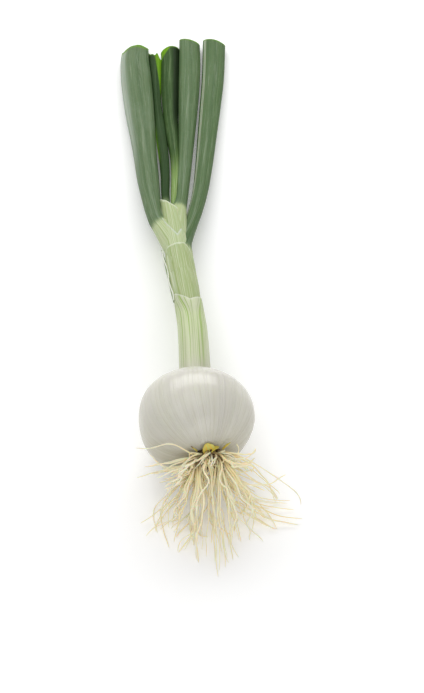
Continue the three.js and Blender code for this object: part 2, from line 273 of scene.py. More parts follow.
def put_mesh(name, points, quads, triangles, vectors, finish):
    """One object at the origin from whole arrays of points in millimetres, faces and vector attributes."""
    mesh = bpy.data.meshes.new(name)
    loops = np.concatenate([quads.ravel(), triangles.ravel()]).astype(np.int32)
    sizes = np.concatenate([np.full(len(quads), 4), np.full(len(triangles), 3)])
    starts = np.concatenate([[0], np.cumsum(sizes)[:-1]]).astype(np.int32)
    mesh.vertices.add(len(points))
    mesh.vertices.foreach_set("co", (np.asarray(points, float) * MM).astype(np.float32).ravel())
    mesh.loops.add(len(loops))
    mesh.loops.foreach_set("vertex_index", loops)
    mesh.polygons.add(len(sizes))
    mesh.polygons.foreach_set("loop_start", starts)
    mesh.update(calc_edges=True)
    mesh.polygons.foreach_set("use_smooth", np.ones(len(sizes), bool))
    for key, values in vectors.items():
        layer = mesh.attributes.new(key, "FLOAT_VECTOR", "POINT")
        layer.data.foreach_set("vector", np.asarray(values, np.float32).ravel())
    mesh.materials.append(finish)
    mesh.validate(verbose=False)
    piece = bpy.data.objects.new(name, mesh)
    bpy.context.scene.collection.objects.link(piece)
    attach(piece, "root")
    return piece


def capped(grid):
    """A rows by sides by 3 grid as a list of points, with the mean of the first and of the last row added."""
    return np.vstack([grid.reshape(-1, grid.shape[-1]), grid[0].mean(0), grid[-1].mean(0)])


def put_tube(name, grid, grain, tone, finish):
    """A closed tube from a rows by sides grid of points, with its grain and tone attributes."""
    quads, fans = grid_faces(*grid.shape[:2])
    return put_mesh(name, capped(grid), quads, fans, {"grain": capped(grain), "tone": capped(tone)}, finish)


def swept(course, s, right, high):
    """Points right across and high up from a course at distances s."""
    point, _, across, up = course.at(s)
    return point + across * right[..., None] + up * high[..., None]


def grain_of(theta, s, radius):
    """Where a point is in the stalk's own grain: round it on a circle of that radius, and the distance along it."""
    return np.stack([radius * np.cos(theta), radius * np.sin(theta), s + 0 * theta], -1)


# ---------------------------------------------------------------- finishes


class Signal:
    """A number in a material. Arithmetic on it adds Math nodes to its finish."""

    def __init__(self, finish, socket):
        self.finish, self.socket = finish, socket

    def maths(self, operation, *values):
        return self.finish.node("ShaderNodeMath", {"operation": operation}, dict(enumerate(values)))

    def __add__(self, other):
        return self.maths("ADD", self, other)

    def __sub__(self, other):
        return self.maths("SUBTRACT", self, other)

    def __rsub__(self, other):
        return self.maths("SUBTRACT", other, self)

    def __mul__(self, other):
        return self.maths("MULTIPLY", self, other)

    __radd__ = __add__
    __rmul__ = __mul__


class Finish:
    """A material in the making, with a Principled shader."""

    def __init__(self, name, **constants):
        self.material = bpy.data.materials.new(name)
        self.material.use_nodes = True
        self.tree = self.material.node_tree
        self.shader = self.tree.nodes["Principled BSDF"]
        self.set(self.shader, constants)

    def set(self, node, sockets):
        """Gives a node's sockets their values or links. An underscore in a name stands for a space."""
        for key, value in sockets.items():
            socket = node.inputs[key.replace("_", " ") if isinstance(key, str) else key]
            if isinstance(value, Signal):
                self.tree.links.new(value.socket, socket)
            elif socket.type == "RGBA":
                socket.default_value = (*value, 1)
            else:
                socket.default_value = value

    def node(self, kind, settings=None, sockets=None, out=0):
        """Adds a node, its settings first and then its sockets. Returns one of its outputs."""
        node = self.tree.nodes.new(kind)
        for key, value in (settings or {}).items():
            setattr(node, key, value)
        self.set(node, sockets or {})
        return Signal(self, node.outputs[out])

    def attribute(self, name):
        return self.node("ShaderNodeAttribute", {"attribute_name": name}, out="Vector")

    def object_place(self):
        return self.node("ShaderNodeTexCoord", out="Object")

    def parts(self, vector):
        """The three numbers of a vector."""
        node = self.tree.nodes.new("ShaderNodeSeparateXYZ")
        self.set(node, {"Vector": vector})
        return [Signal(self, socket) for socket in node.outputs]

    def stretch(self, vector, by):
        return self.node("ShaderNodeVectorMath", {"operation": "MULTIPLY"}, {0: vector, 1: by})

    def noise(self, vector, scale=1.0, detail=2.0, roughness=0.5):
        sockets = {"Vector": vector, "Scale": scale, "Detail": detail, "Roughness": roughness}
        return self.node("ShaderNodeTexNoise", {}, sockets, "Fac")

    def streaks(self, grain, across, along, detail=3, roughness=0.6):
        """Noise drawn out along the grain, by its scales across and along."""
        return self.noise(self.stretch(grain, (across, across, along)), 1, detail, roughness)

    def step(self, value, low, high):
        """0 below low, 1 above high, smooth between."""
        sockets = {"Value": value, "From Min": low, "From Max": high}
        return self.node("ShaderNodeMapRange", {"interpolation_type": "SMOOTHSTEP"}, sockets)

    def mix(self, share, first, second):
        """The first colour where share is 0, the second where it is 1."""
        return self.node("ShaderNodeMix", {"data_type": "RGBA"}, {0: share, 6: first, 7: second}, 2)

    def tint(self, skin, mask, low, high, share, shade):
        """Lays a share of a shade over a skin, the more the nearer the mask is to high."""
        return self.mix(self.step(mask, low, high) * share, skin, shade)

    def bump(self, height, strength, distance):
        sockets = {"Height": height, "Strength": strength, "Distance": distance}
        return self.node("ShaderNodeBump", {}, sockets)

    def done(self, **sockets):
        """Links what varies over the surface and hands over the material."""
        self.set(self.shader, sockets)
        return self.material


def vein_lines(finish, grain, count, sway, width, seed):
    """Uneven lines that run along a stalk: the angle round it, in count turns, nudged by slow noise, folded about
    the middle of each turn. 1 on a line, 0 between."""
    x, y, _ = finish.parts(grain)
    angle = y.maths("ARCTAN2", y, x)
    nudge = finish.streaks(grain, 0.55, 0.006, 1, 0.5)
    turns = angle * (count / (2 * math.pi)) + nudge * sway + seed
    fold = turns.maths("ABSOLUTE", turns.maths("FRACT", turns) - 0.5) * 2
    return finish.step(fold, 1 - width, 1)


def bulb_finish(c):
    """White, finely veined, glossy skin that turns pale green up the neck, with painted shade that darkens it towards
    the table.
    """
    f = Finish(
        "bulb_skin_white",
        IOR=1.42,
        Coat_Roughness=0.22,
        Subsurface_Weight=0.4,
        Subsurface_Radius=(0.9, 1.0, 0.7),
        Subsurface_Scale=0.004,
        Sheen_Weight=0.12,
        Sheen_Roughness=0.45,
    )
    grain, place = f.attribute("grain"), f.object_place()
    green, membrane, inner = f.parts(f.attribute("tone"))
    broad = f.streaks(grain, 0.28, 0.012, 3, 0.55)
    fine = f.streaks(grain, 1.4, 0.02)
    hair = f.streaks(grain, 3.4, 0.03, 2)
    patch = f.noise(place, 38, 3, 0.5)
    near = 1 - f.step(f.parts(grain)[2], 3, 26)
    # Painted shade: a mask that rises towards the table, where the skin is darkened.
    low = 1 - f.step(f.parts(place)[2], 0.01, 0.06)
    threads = vein_lines(f, grain, 96, 6.0, 0.6, 0.4)
    white = f.tint(c.bulb, broad, 0.4, 0.7, 0.35, paint(206, 201, 197))
    white = f.tint(white, patch, 0.46, 0.7, 0.4, paint(221, 222, 206))
    white = f.tint(white, fine, 0.5, 0.75, near * 0.2 + 0.2, c.bulb_shade)
    white = f.mix(threads * f.step(fine, 0.3, 0.6) * (near * 0.3 + 0.1), white, paint(190, 184, 162))
    white = f.mix(near * f.step(hair, 0.45, 0.7) * 0.4, white, paint(232, 230, 222))
    # Painted shade: the skin turns darker and greyer towards the table.
    white = f.mix(low * (f.step(broad, 0.35, 0.6) * 0.3 + 0.7), white, paint(168, 163, 136))
    veins = vein_lines(f, grain, 28, 2.6, 0.36, 0.2)
    neck = f.tint(c.neck, hair, 0.4, 0.75, 0.35, paint(188, 202, 148))
    neck = f.mix(veins * 0.9, neck, c.neck_vein)
    skin = f.mix(green, white, neck)
    skin = f.mix(membrane * 0.7, skin, c.membrane)
    skin = f.mix(inner, skin, paint(195, 206, 156))
    flutes = vein_lines(f, grain, 34, 3.0, 0.8, 0.1)
    relief = fine * 0.8 + hair * 0.5 + broad * 0.9 - veins * green * 0.5 - threads * 0.2 - flutes * 0.45
    return f.done(
        Base_Color=skin,
        Roughness=f.step(hair, 0.3, 0.8) * 0.12 + 0.34,
        Coat_Weight=0.65 - green * 0.6,
        Normal=f.bump(relief, 0.6, 0.0006),
    )


def leaf_finish(name, c, gloss=0.4, smear=(150, 162, 138), **own):
    """Pale sheath to green blade by the tone's first part: ribs and streaks along the grain under a waxy bloom. A
    leaf's own shades, in display values, stand in for the colours of the settings."""
    shades = {
        "leaf": c.leaf, "deep": c.leaf_deep, "bloom": c.bloom,
        "stalk": c.sheath, "line": c.sheath_vein, "edge": c.membrane,
    }
    shades.update({part: paint(*shade) for part, shade in own.items()})
    leaf, deep, bloom, stalk, line, edge = shades.values()
    f = Finish(
        name,
        IOR=1.4,
        Specular_IOR_Level=gloss,
        Coat_Roughness=0.3,
        Coat_Weight=0.04,
        Subsurface_Weight=0.06,
        Subsurface_Scale=0.002,
    )
    grain, place = f.attribute("grain"), f.object_place()
    green, membrane, inner = f.parts(f.attribute("tone"))
    broad = f.streaks(grain, 0.6, 0.014, 2, 0.5)
    fine = f.streaks(grain, 1.7, 0.022)
    hair = f.streaks(grain, 4.6, 0.05, 2)
    wiped = f.streaks(grain, 0.9, 0.035, 4, 0.7)
    cloud = f.noise(place, 45, 4, 0.6)
    speck = f.noise(place, 900, 2, 0.5)
    blade = f.mix(f.step(broad, 0.3, 0.6) * 0.7 + 0.3, deep, leaf)
    blade = f.tint(blade, fine, 0.48, 0.78, 0.4, bloom)
    blade = f.tint(blade, hair, 0.5, 0.75, 0.35, deep)
    blade = f.tint(blade, wiped, 0.52, 0.72, 0.42, paint(*smear))
    blade = f.tint(blade, cloud, 0.5, 0.75, 0.3, bloom)
    blade = f.tint(blade, speck, 0.5, 0.75, 0.15, bloom)
    lines = vein_lines(f, grain, 40, 3, 0.5, 0.6)
    sheath = f.tint(stalk, hair, 0.42, 0.66, 0.7, paint(208, 216, 184))
    sheath = f.mix(lines * 0.5 + f.step(fine, 0.45, 0.75) * 0.35, sheath, line)
    skin = f.mix(f.step(green + hair * 0.8 + fine * 0.6 - 0.7, 0.05, 0.95), sheath, blade)
    # The margin mask lays the edge colour: whitish rims on most leaves, and painted shadow on the youngest leaf's right
    # flank.
    skin = f.mix(membrane * (f.step(fine, 0.3, 0.6) * 0.3 + 0.7), skin, edge)
    # Bright green of the cut ends and hollows. On the narrow leaf's left margin the same green is painted light coming
    # through the leaf.
    skin = f.mix(inner, skin, f.mix(f.step(hair, 0.4, 0.7), c.cut, paint(86, 140, 10)))
    relief = broad * 0.7 + fine * 0.6 + hair * 0.3 + speck * 0.05
    return f.done(Base_Color=skin, Roughness=0.5 + cloud * 0.16, Normal=f.bump(relief, 0.6, 0.0004))


def root_finish(c):
    """Cream strands, yellower towards the foot and brown where they leave the plate, each a little different."""
    f = Finish("root_cream", IOR=1.38, Subsurface_Weight=0.25, Subsurface_Scale=0.001)
    shade, along, dirt = f.parts(f.attribute("tone"))
    mottle = f.streaks(f.attribute("grain"), 1.5, 0.5)
    skin = f.mix(f.step(along, 0.0, 0.5), c.root_foot, c.root)
    skin = f.tint(skin, shade, 0.55, 1, 0.6, paint(250, 246, 228))
    skin = f.mix((1 - f.step(shade, 0, 0.35)) * 0.4, skin, paint(240, 218, 156))
    skin = f.tint(skin, mottle, 0.55, 0.8, 0.25, paint(226, 204, 146))
    skin = f.mix(dirt, skin, c.plate)
    return f.done(Base_Color=skin, Roughness=0.5 + mottle * 0.15, Normal=f.bump(mottle, 0.4, 0.0002))


def plate_finish(c):
    """Brown, nearly black in spots, with tan fibre between."""
    f = Finish("basal_plate_brown", IOR=1.4)
    place = f.object_place()
    lumps = f.noise(place, 420, 4, 0.6)
    spots = f.noise(place, 700, 2, 0.5)
    skin = f.mix(f.step(lumps, 0.4, 0.6), c.plate_dark, c.plate)
    skin = f.tint(skin, spots, 0.52, 0.66, 0.7, paint(190, 168, 108))
    skin = f.tint(skin, spots, 0.5, 0.36, 0.8, c.plate_dark)
    return f.done(Base_Color=skin, Roughness=0.7 + lumps * 0.2, Normal=f.bump(lumps + spots * 0.5, 0.8, 0.0008))


def scrap_finish(c):
    """Torn old skin: yellow green, ochre in streaks, brown at the tips by the tone's first part."""
    f = Finish("skin_scrap_ochre", IOR=1.4, Coat_Weight=0.15)
    brown, pale, _ = f.parts(f.attribute("tone"))
    streak = f.streaks(f.attribute("grain"), 1.6, 0.2)
    skin = f.mix(f.step(streak, 0.46, 0.62), c.scrap, paint(232, 190, 50))
    skin = f.mix(brown, skin, paint(110, 62, 24))
    skin = f.mix(pale, skin, paint(224, 216, 176))
    return f.done(Base_Color=skin, Roughness=0.45 + streak * 0.2, Normal=f.bump(streak, 0.5, 0.0004))


def dry_finish():
    """The oldest leaf's dry blade: grey green on the outside, white along its torn edge."""
    f = Finish("dry_blade_skin", IOR=1.4)
    white, _, _ = f.parts(f.attribute("tone"))
    streak = f.streaks(f.attribute("grain"), 2.5, 0.08)
    skin = f.mix(f.step(streak, 0.4, 0.65), paint(122, 148, 96), paint(168, 182, 142))
    skin = f.mix(f.step(white + streak * 0.4 - 0.2, 0.3, 0.8), skin, paint(232, 234, 222))
    return f.done(Base_Color=skin, Roughness=0.55 + streak * 0.15, Normal=f.bump(streak, 0.5, 0.0003))


def floor_finish(shade):
    """A plain matt table top."""
    f = Finish("table_top_pale", Specular_IOR_Level=0.1, Emission_Color=(1, 1, 1), Emission_Strength=0.13)
    grit = f.noise(f.object_place(), 60, 2)
    return f.done(Base_Color=shade, Roughness=0.75 + grit * 0.1)


# ---------------------------------------------------------------- the bulb

BASE_TURN = math.radians(7)
BASE_TILT = math.radians(7)
BASE_OUT = np.array(
    [math.sin(BASE_TURN) * math.cos(BASE_TILT), -math.cos(BASE_TURN) * math.cos(BASE_TILT), math.sin(BASE_TILT)]
)
PRESSED = 0.7  # how much of the bulb's round is missing where it bears on the table
BULB_CENTRE = np.array([0, 0, BULB_WIDTH / 2 - PRESSED])
NECK_STATIONS = ((2.3, 35, 25.4), (3.5, 60, 23.4), (3.1, 79, 21.4))
COLLAR = ((0, 79.5), (85, 74), (180, 85.5), (270, 86))  # how far along Y the collar reaches, by the angle round it
COLLAR_HOLLOW = 9  # how far down the collar's inside wall goes


def neck_course(sizes):
    """The line that the bulb and its neck are turned about, from the base to the collar."""
    pole = BULB_CENTRE + BASE_OUT * sizes.base_depth / MM
    return Course([pole, BULB_CENTRE, *NECK_STATIONS])


def bulb_radius(s, sizes, neck_length):
    """Radius at a distance from the base: a quarter ellipse up to the widest ring, then the neck's radius plus the
    rest times (1 - share cubed) to the power 1.5, where share runs from 0 there to 1 at the shoulder's end."""
    radius, depth, shoulder = sizes.bulb_diameter / 2 / MM, sizes.base_depth / MM, sizes.shoulder / MM
    lower = radius * np.sqrt(np.clip(1 - (1 - s / depth) ** 2, 0, 1))
    share = np.clip((s - depth) / (neck_length - depth), 0, 1)
    neck = sizes.neck_foot / MM * (1 - share) + sizes.neck_top / MM * share
    fall = np.clip((s - depth) / shoulder, 0, 1)
    upper = neck + (radius - neck) * (1 - fall**3) ** 1.5
    return np.where(s < depth, lower, upper)


def build_bulb(context):
    """The bulb and its neck: rings along the neck course, the crown drawn in a little round the basal plate, fine
    ribs from base to collar, a slanting collar with a thin lip, and its inside wall a short way down."""
    sizes, colours = context.scene.onion_sizes, context.scene.onion_colours
    course = neck_course(sizes)
    depth, shoulder, wall = sizes.base_depth / MM, sizes.shoulder / MM, sizes.rim_wall / MM
    sides, lower, upper, stem = 320, 44, 52, 44

    def collar(theta):
        return course.reach(table_of(theta, COLLAR))

    sections = Wall(depth + shoulder, collar, wall, COLLAR_HOLLOW, rows=stem, sides=sides)
    angle = np.linspace(0.02, math.pi / 2, lower, endpoint=False)[:, None]
    level = np.ones((1, sides))
    base = depth * (1 - np.cos(angle)) * level
    crest = (depth + shoulder * np.linspace(0, 1, upper, endpoint=False))[:, None] * level
    s = np.vstack([base, crest, sections.s])
    theta = np.vstack([np.ones((lower + upper, 1)) * sections.theta[:1], sections.theta])
    inset = np.vstack([0 * base, 0 * crest, sections.inset])
    inner = np.vstack([0 * base, 0 * crest, sections.inner])

    radius = bulb_radius(s, sizes, course.length)
    onset = ease(4, 16, radius)
    ribs = ripple(theta, s, (23, 37, 53, 71, 96), 3) * sizes.rib_height / MM * onset
    swells = ripple(theta, s, (2, 3, 5, 7), 8, 0.03) * 0.28 * ease(6, 26, radius)
    pucker = ripple(theta, s, (17, 26, 41), 5) * 0.22 * np.exp(-(((radius - 8.5) / 4.5) ** 2)) * (s < depth)
    span = radius + ribs + swells + pucker - inset
    sunk = s + 1.5 * np.exp(-((radius / 7.5) ** 2)) * (s < depth)
    span = np.where(s < depth + shoulder, span, np.where(inner > 0, radius - inset, radius + ribs * 0.8))
    grid = swept(course, sunk, span * np.cos(theta), span * np.sin(theta))
    grid[..., 2] = np.maximum(grid[..., 2], 0.0)

    end = collar(theta)
    side = np.radians(np.clip(around(theta, 85), -180, 180))
    flow = theta - np.radians(40) * ease(-15, 0, s - end) ** 1.4 * np.sin(side) * np.cos(side / 2) ** 2
    tone = np.stack([
        ease(20, 40, grid[..., 1]) * (0.72 + 0.28 * ease(40, 60, grid[..., 1])),
        ease(-1.3, -0.5, s - end) * (inner < 1),
        inner,
    ], -1)
    piece = put_tube("bulb_skin", grid, grain_of(flow, s, 12.0), tone, bulb_finish(colours))
    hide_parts("bulb")


def build_dry_blade(context):
    """What is left of the oldest leaf's blade: a thin ribbon on edge along the left of the neck, its free edge
    torn into waves. A flattened ellipse along a course, taller than it is wide."""
    course = Course((
        (-4.4, 79, 22.4, 0.4, 1.1), (-4.9, 86, 21.6, 0.6, 1.4), (-5.7, 97, 20.3, 0.6, 1.4),
        (-6.6, 108, 18.9, 0.55, 1.2), (-7.5, 118, 17.4, 0.2, 0.4),
    ))
    wall = Wall(0, course.length, 0.1, 0.2, rows=90, sides=24, lip=2, back=2)
    torn = 1 + 0.12 * np.sin(wall.s * 0.5) + 0.07 * np.sin(wall.s * 1.3 + 1)
    top = np.clip(np.sin(wall.theta), 0, 1)
    width = course.value(0, wall.s) - wall.inset
    height = course.value(1, wall.s) * (1 + (torn - 1) * top) - wall.inset
    lean = 0.5 * np.sin(wall.s * 0.35) * top
    grid = swept(course, wall.s, width * np.cos(wall.theta) + lean, height * np.sin(wall.theta))
    tone = np.stack([ease(0.45, 0.95, top), 0 * top, 0 * top], -1)
    put_tube("dry_outer_blade", grid, grain_of(wall.theta, wall.s, 1.2), tone, dry_finish())


# ---------------------------------------------------------------- the crown


def crown_axes():
    """Unit vectors right and up in the basal plate's face, as seen from the roots."""
    right = np.cross((0, 0, 1), BASE_OUT)
    right /= np.linalg.norm(right)
    return right, np.cross(BASE_OUT, right)


def on_crown(right, high, out):
    """Points right, high and out from the middle of the base."""
    pole = BULB_CENTRE + BASE_OUT * BASE_DEPTH
    places = zip((*crown_axes(), BASE_OUT), (right, high, out))
    return sum((axis * np.asarray(way)[..., None] for axis, way in places), pole)


def build_crown(context):
    """The basal plate: a disc whose face is a low dome with lumps from a sum of waves in both directions, and whose
    edge turns back into the bulb."""
    radius = context.scene.onion_sizes.plate_radius / MM
    sides, rows = 96, 40
    theta = np.arange(sides)[None, :] * 2 * math.pi / sides
    share = np.linspace(0.01, 1, rows)[:, None]
    r = radius * np.minimum(1, share * 1.25) * (1 + 0.06 * ripple(theta, 0, (3, 5, 8, 13), 21) * ease(0.4, 0.9, share))
    x, z = r * np.cos(theta), r * np.sin(theta)
    waves = ((1.9, 0.6, 0), (-0.8, 2.1, 1), (2.6, -1.7, 2), (0.9, 3.1, 4), (-3.3, 1.2, 5))
    lumps = sum(np.sin(a * x + b * z + phase) for a, b, phase in waves)
    dome = 1.5 * np.sqrt(np.clip(1 - (r / radius / 1.06) ** 2, 0, 1)) + 0.28 * lumps * (share < 0.8)
    out = np.where(share <= 0.8, dome, dome - 3.2 * ((share - 0.8) / 0.2))
    grid = on_crown(x, z, out)[::-1]
    quads, fans = grid_faces(rows, sides)
    finish = plate_finish(context.scene.onion_colours)
    piece = put_mesh("root_crown", capped(grid), quads, fans, {"grain": capped(grid)}, finish)
    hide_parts("basal_plate")


def build_scrap(name, stations, finish, thick, lean, brown, pale, torn):
    """A torn scrap: a flat tapering tongue along a course, leaning by an angle about it, cupped across its width,
    its edges notched by waves."""
    course = Course(stations)
    wall = Wall(0, course.length, 0.1, 0.15, rows=36, sides=28, lip=2, back=2)
    width = course.value(0, wall.s) * (1 + torn * (np.sin(wall.s * 2.3 + lean) + 0.7 * np.sin(wall.s * 4.1)))
    width = width - wall.inset
    right, high = width * np.cos(wall.theta), (thick - wall.inset) * np.sin(wall.theta)
    high = high + 0.35 * (right / max(0.5, width.max())) ** 2 * width.max()
    x, z = right * math.cos(lean) - high * math.sin(lean), right * math.sin(lean) + high * math.cos(lean)
    grid = swept(course, wall.s, x, z)
    share = wall.s / course.length
    tone = np.stack([brown * ease(0.55, 1.0, share), pale + 0 * share, 0 * share], -1)
    put_tube(name, grid, grain_of(wall.theta, wall.s, 2.0), tone, finish)


# Scraps of old skin round the basal plate. Each runs through a few places that are right, high and out from its
# middle, with half its width there. Then come half its thickness, its lean, how brown its tip is, how pale all of it
# is, and how torn its edges are.
SCRAPS = {
    "skin_scrap_top": (
        ((0.4, 5.6, 0.5, 2.4), (0.3, 7, 0.1, 3.2), (0.2, 8.4, -0.3, 3), (0.1, 9.6, -0.8, 1.9), (0.1, 10.3, -1.1, 0.8)),
        (0.3, 0, 0, 0.1, 0.03),
    ),
    "skin_scrap_middle": (((1.6, 6.2, 0.7, 1.7), (3.4, 7.2, 0.5, 1.5), (5.6, 7.6, 0.3, 0.5)), (0.3, 0.3, 0.3, 0, 0.08)),
    "skin_scrap_right": (((7.4, 5, 0.2, 0.8), (9, 6.8, 0.3, 1.1), (11.3, 9.2, 0.4, 0.2)), (0.25, 0.6, 0.1, 0, 0.08)),
    "skin_scrap_left": (((-5.4, 7.2, 0.1, 0.6), (-6.6, 9, -0.2, 0.5), (-8, 10.8, -0.6, 0.15)), (0.2, -0.3, 1, 0, 0.1)),
    "skin_scrap_low_left": (((-6.8, 2.6, 0.4, 0.7), (-8, 3, 0.5, 0.6), (-9.2, 2.6, 0.2, 0.2)), (0.25, 0.4, 1, 0, 0.14)),
    "skin_scrap_low_right": (
        ((7.6, -1.6, 0.6, 0.7), (9.2, -1.8, 0.7, 0.6), (10.6, -1.6, 0.2, 0.2)), (0.25, -0.5, 1, 0, 0.14)
    ),
    "root_stub": (
        ((-4.5, -4.5, 1.5, 1.9), (-7.5, -7.2, 3.2, 2.2), (-10.2, -9.8, 3.4, 2.3), (-12.6, -11.8, 2.8, 1.5)),
        (1.3, 0.4, 0.12, 0.75, 0.14),
    ),
}


def build_scraps(context):
    """Scraps of old skin round the basal plate, yellow green at its top and brown at its sides, and the stub of a
    broken root at its lower left."""
    finish = scrap_finish(context.scene.onion_colours)
    for name, (places, shape) in SCRAPS.items():
        stations = [(*on_crown(*place), width) for *place, width in places]
        build_scrap(name, stations, finish, *shape)


# ---------------------------------------------------------------- the leaves
# A leaf is one surface from its sheath to its cut end.


def nothing(theta, y):
    """0 everywhere."""
    return 0 * y


def ridge(theta, middle, spread):
    """1 on a line along a leaf at an angle round it, falling off as a bell to both sides."""
    return np.exp(-((around(theta, middle) / spread) ** 2))


def overlap(theta, y):
    """The free edge of the outer sheath, which runs lengthwise up its left side."""
    past = around(theta, 150)
    return 0.42 * ease(-2, 0.5, past) * ease(70, 10, past) * ease(116, 108, y) * ease(76, 84, y)


def free_edge(theta, y):
    """The whitish lines along the outer sheath's free edge."""
    return 0.75 * (ridge(theta, 149, 4) + 0.7 * ridge(theta, 138, 3)) * ease(80, 90, y)


def folded(theta, y):
    """The left margin of the left leaf, pressed to a soft fold."""
    return (0.45 * ridge(theta, 172, 16) - 0.35 * ridge(theta, 142, 14)) * ease(165, 200, y)


def silver(theta, y):
    """The whitish bloom on the left leaf's folded margin, and the thin edge where it leaves the sheath."""
    margin = 0.6 * ridge(theta, 158, 24) * ease(140, 240, y)
    return margin + 0.75 * ridge(theta, 28, 13) * ease(121, 127, y) * ease(150, 142, y)


def painted_shadow_flank(theta, y):
    """Painted shadow on the right flank of the youngest leaf, under its ridge."""
    return 0.95 * ease(0.1, 0.55, np.cos(theta)) * ease(195, 230, y)


def lit_corner(theta, y):
    """Bright green inside of the youngest leaf where its slanting cut bares it."""
    return ease(-1.2, 0.8, y - 270 - 9 * (np.cos(theta) + 1)) * ease(0.35, 0, np.cos(theta))


def glow(theta, y):
    """Painted light: bright green where light comes through the narrow leaf's left margin. Also the bright green inside
    of its open right half, whose edge runs from the right at 236 mm to the middle at its end."""
    opened = ease(-0.12, 0.12, np.cos(theta) - 1.05 + (y - 236) / 38) * ease(-0.6, 0, np.sin(theta))
    return np.maximum(0.9 * opened, 0.85 * ridge(theta, 172, 26) * ease(184, 192, y) * ease(220, 206, y))


def left_cut(x):
    """The left leaf's cut, which falls off further on its left."""
    return np.where(x < 0.1, -8 * (np.abs(0.1 - x) / 1.1) ** 2.2, -3 * (np.abs(x - 0.1) / 0.9) ** 2)


LEAF_GRAIN = 5.0  # the radius of the circle that a leaf's grain runs round
LEAF_HOLLOW, RIM_HOLLOW = 26, 7  # how far a leaf is hollow from its cut, and a sheath from its rim

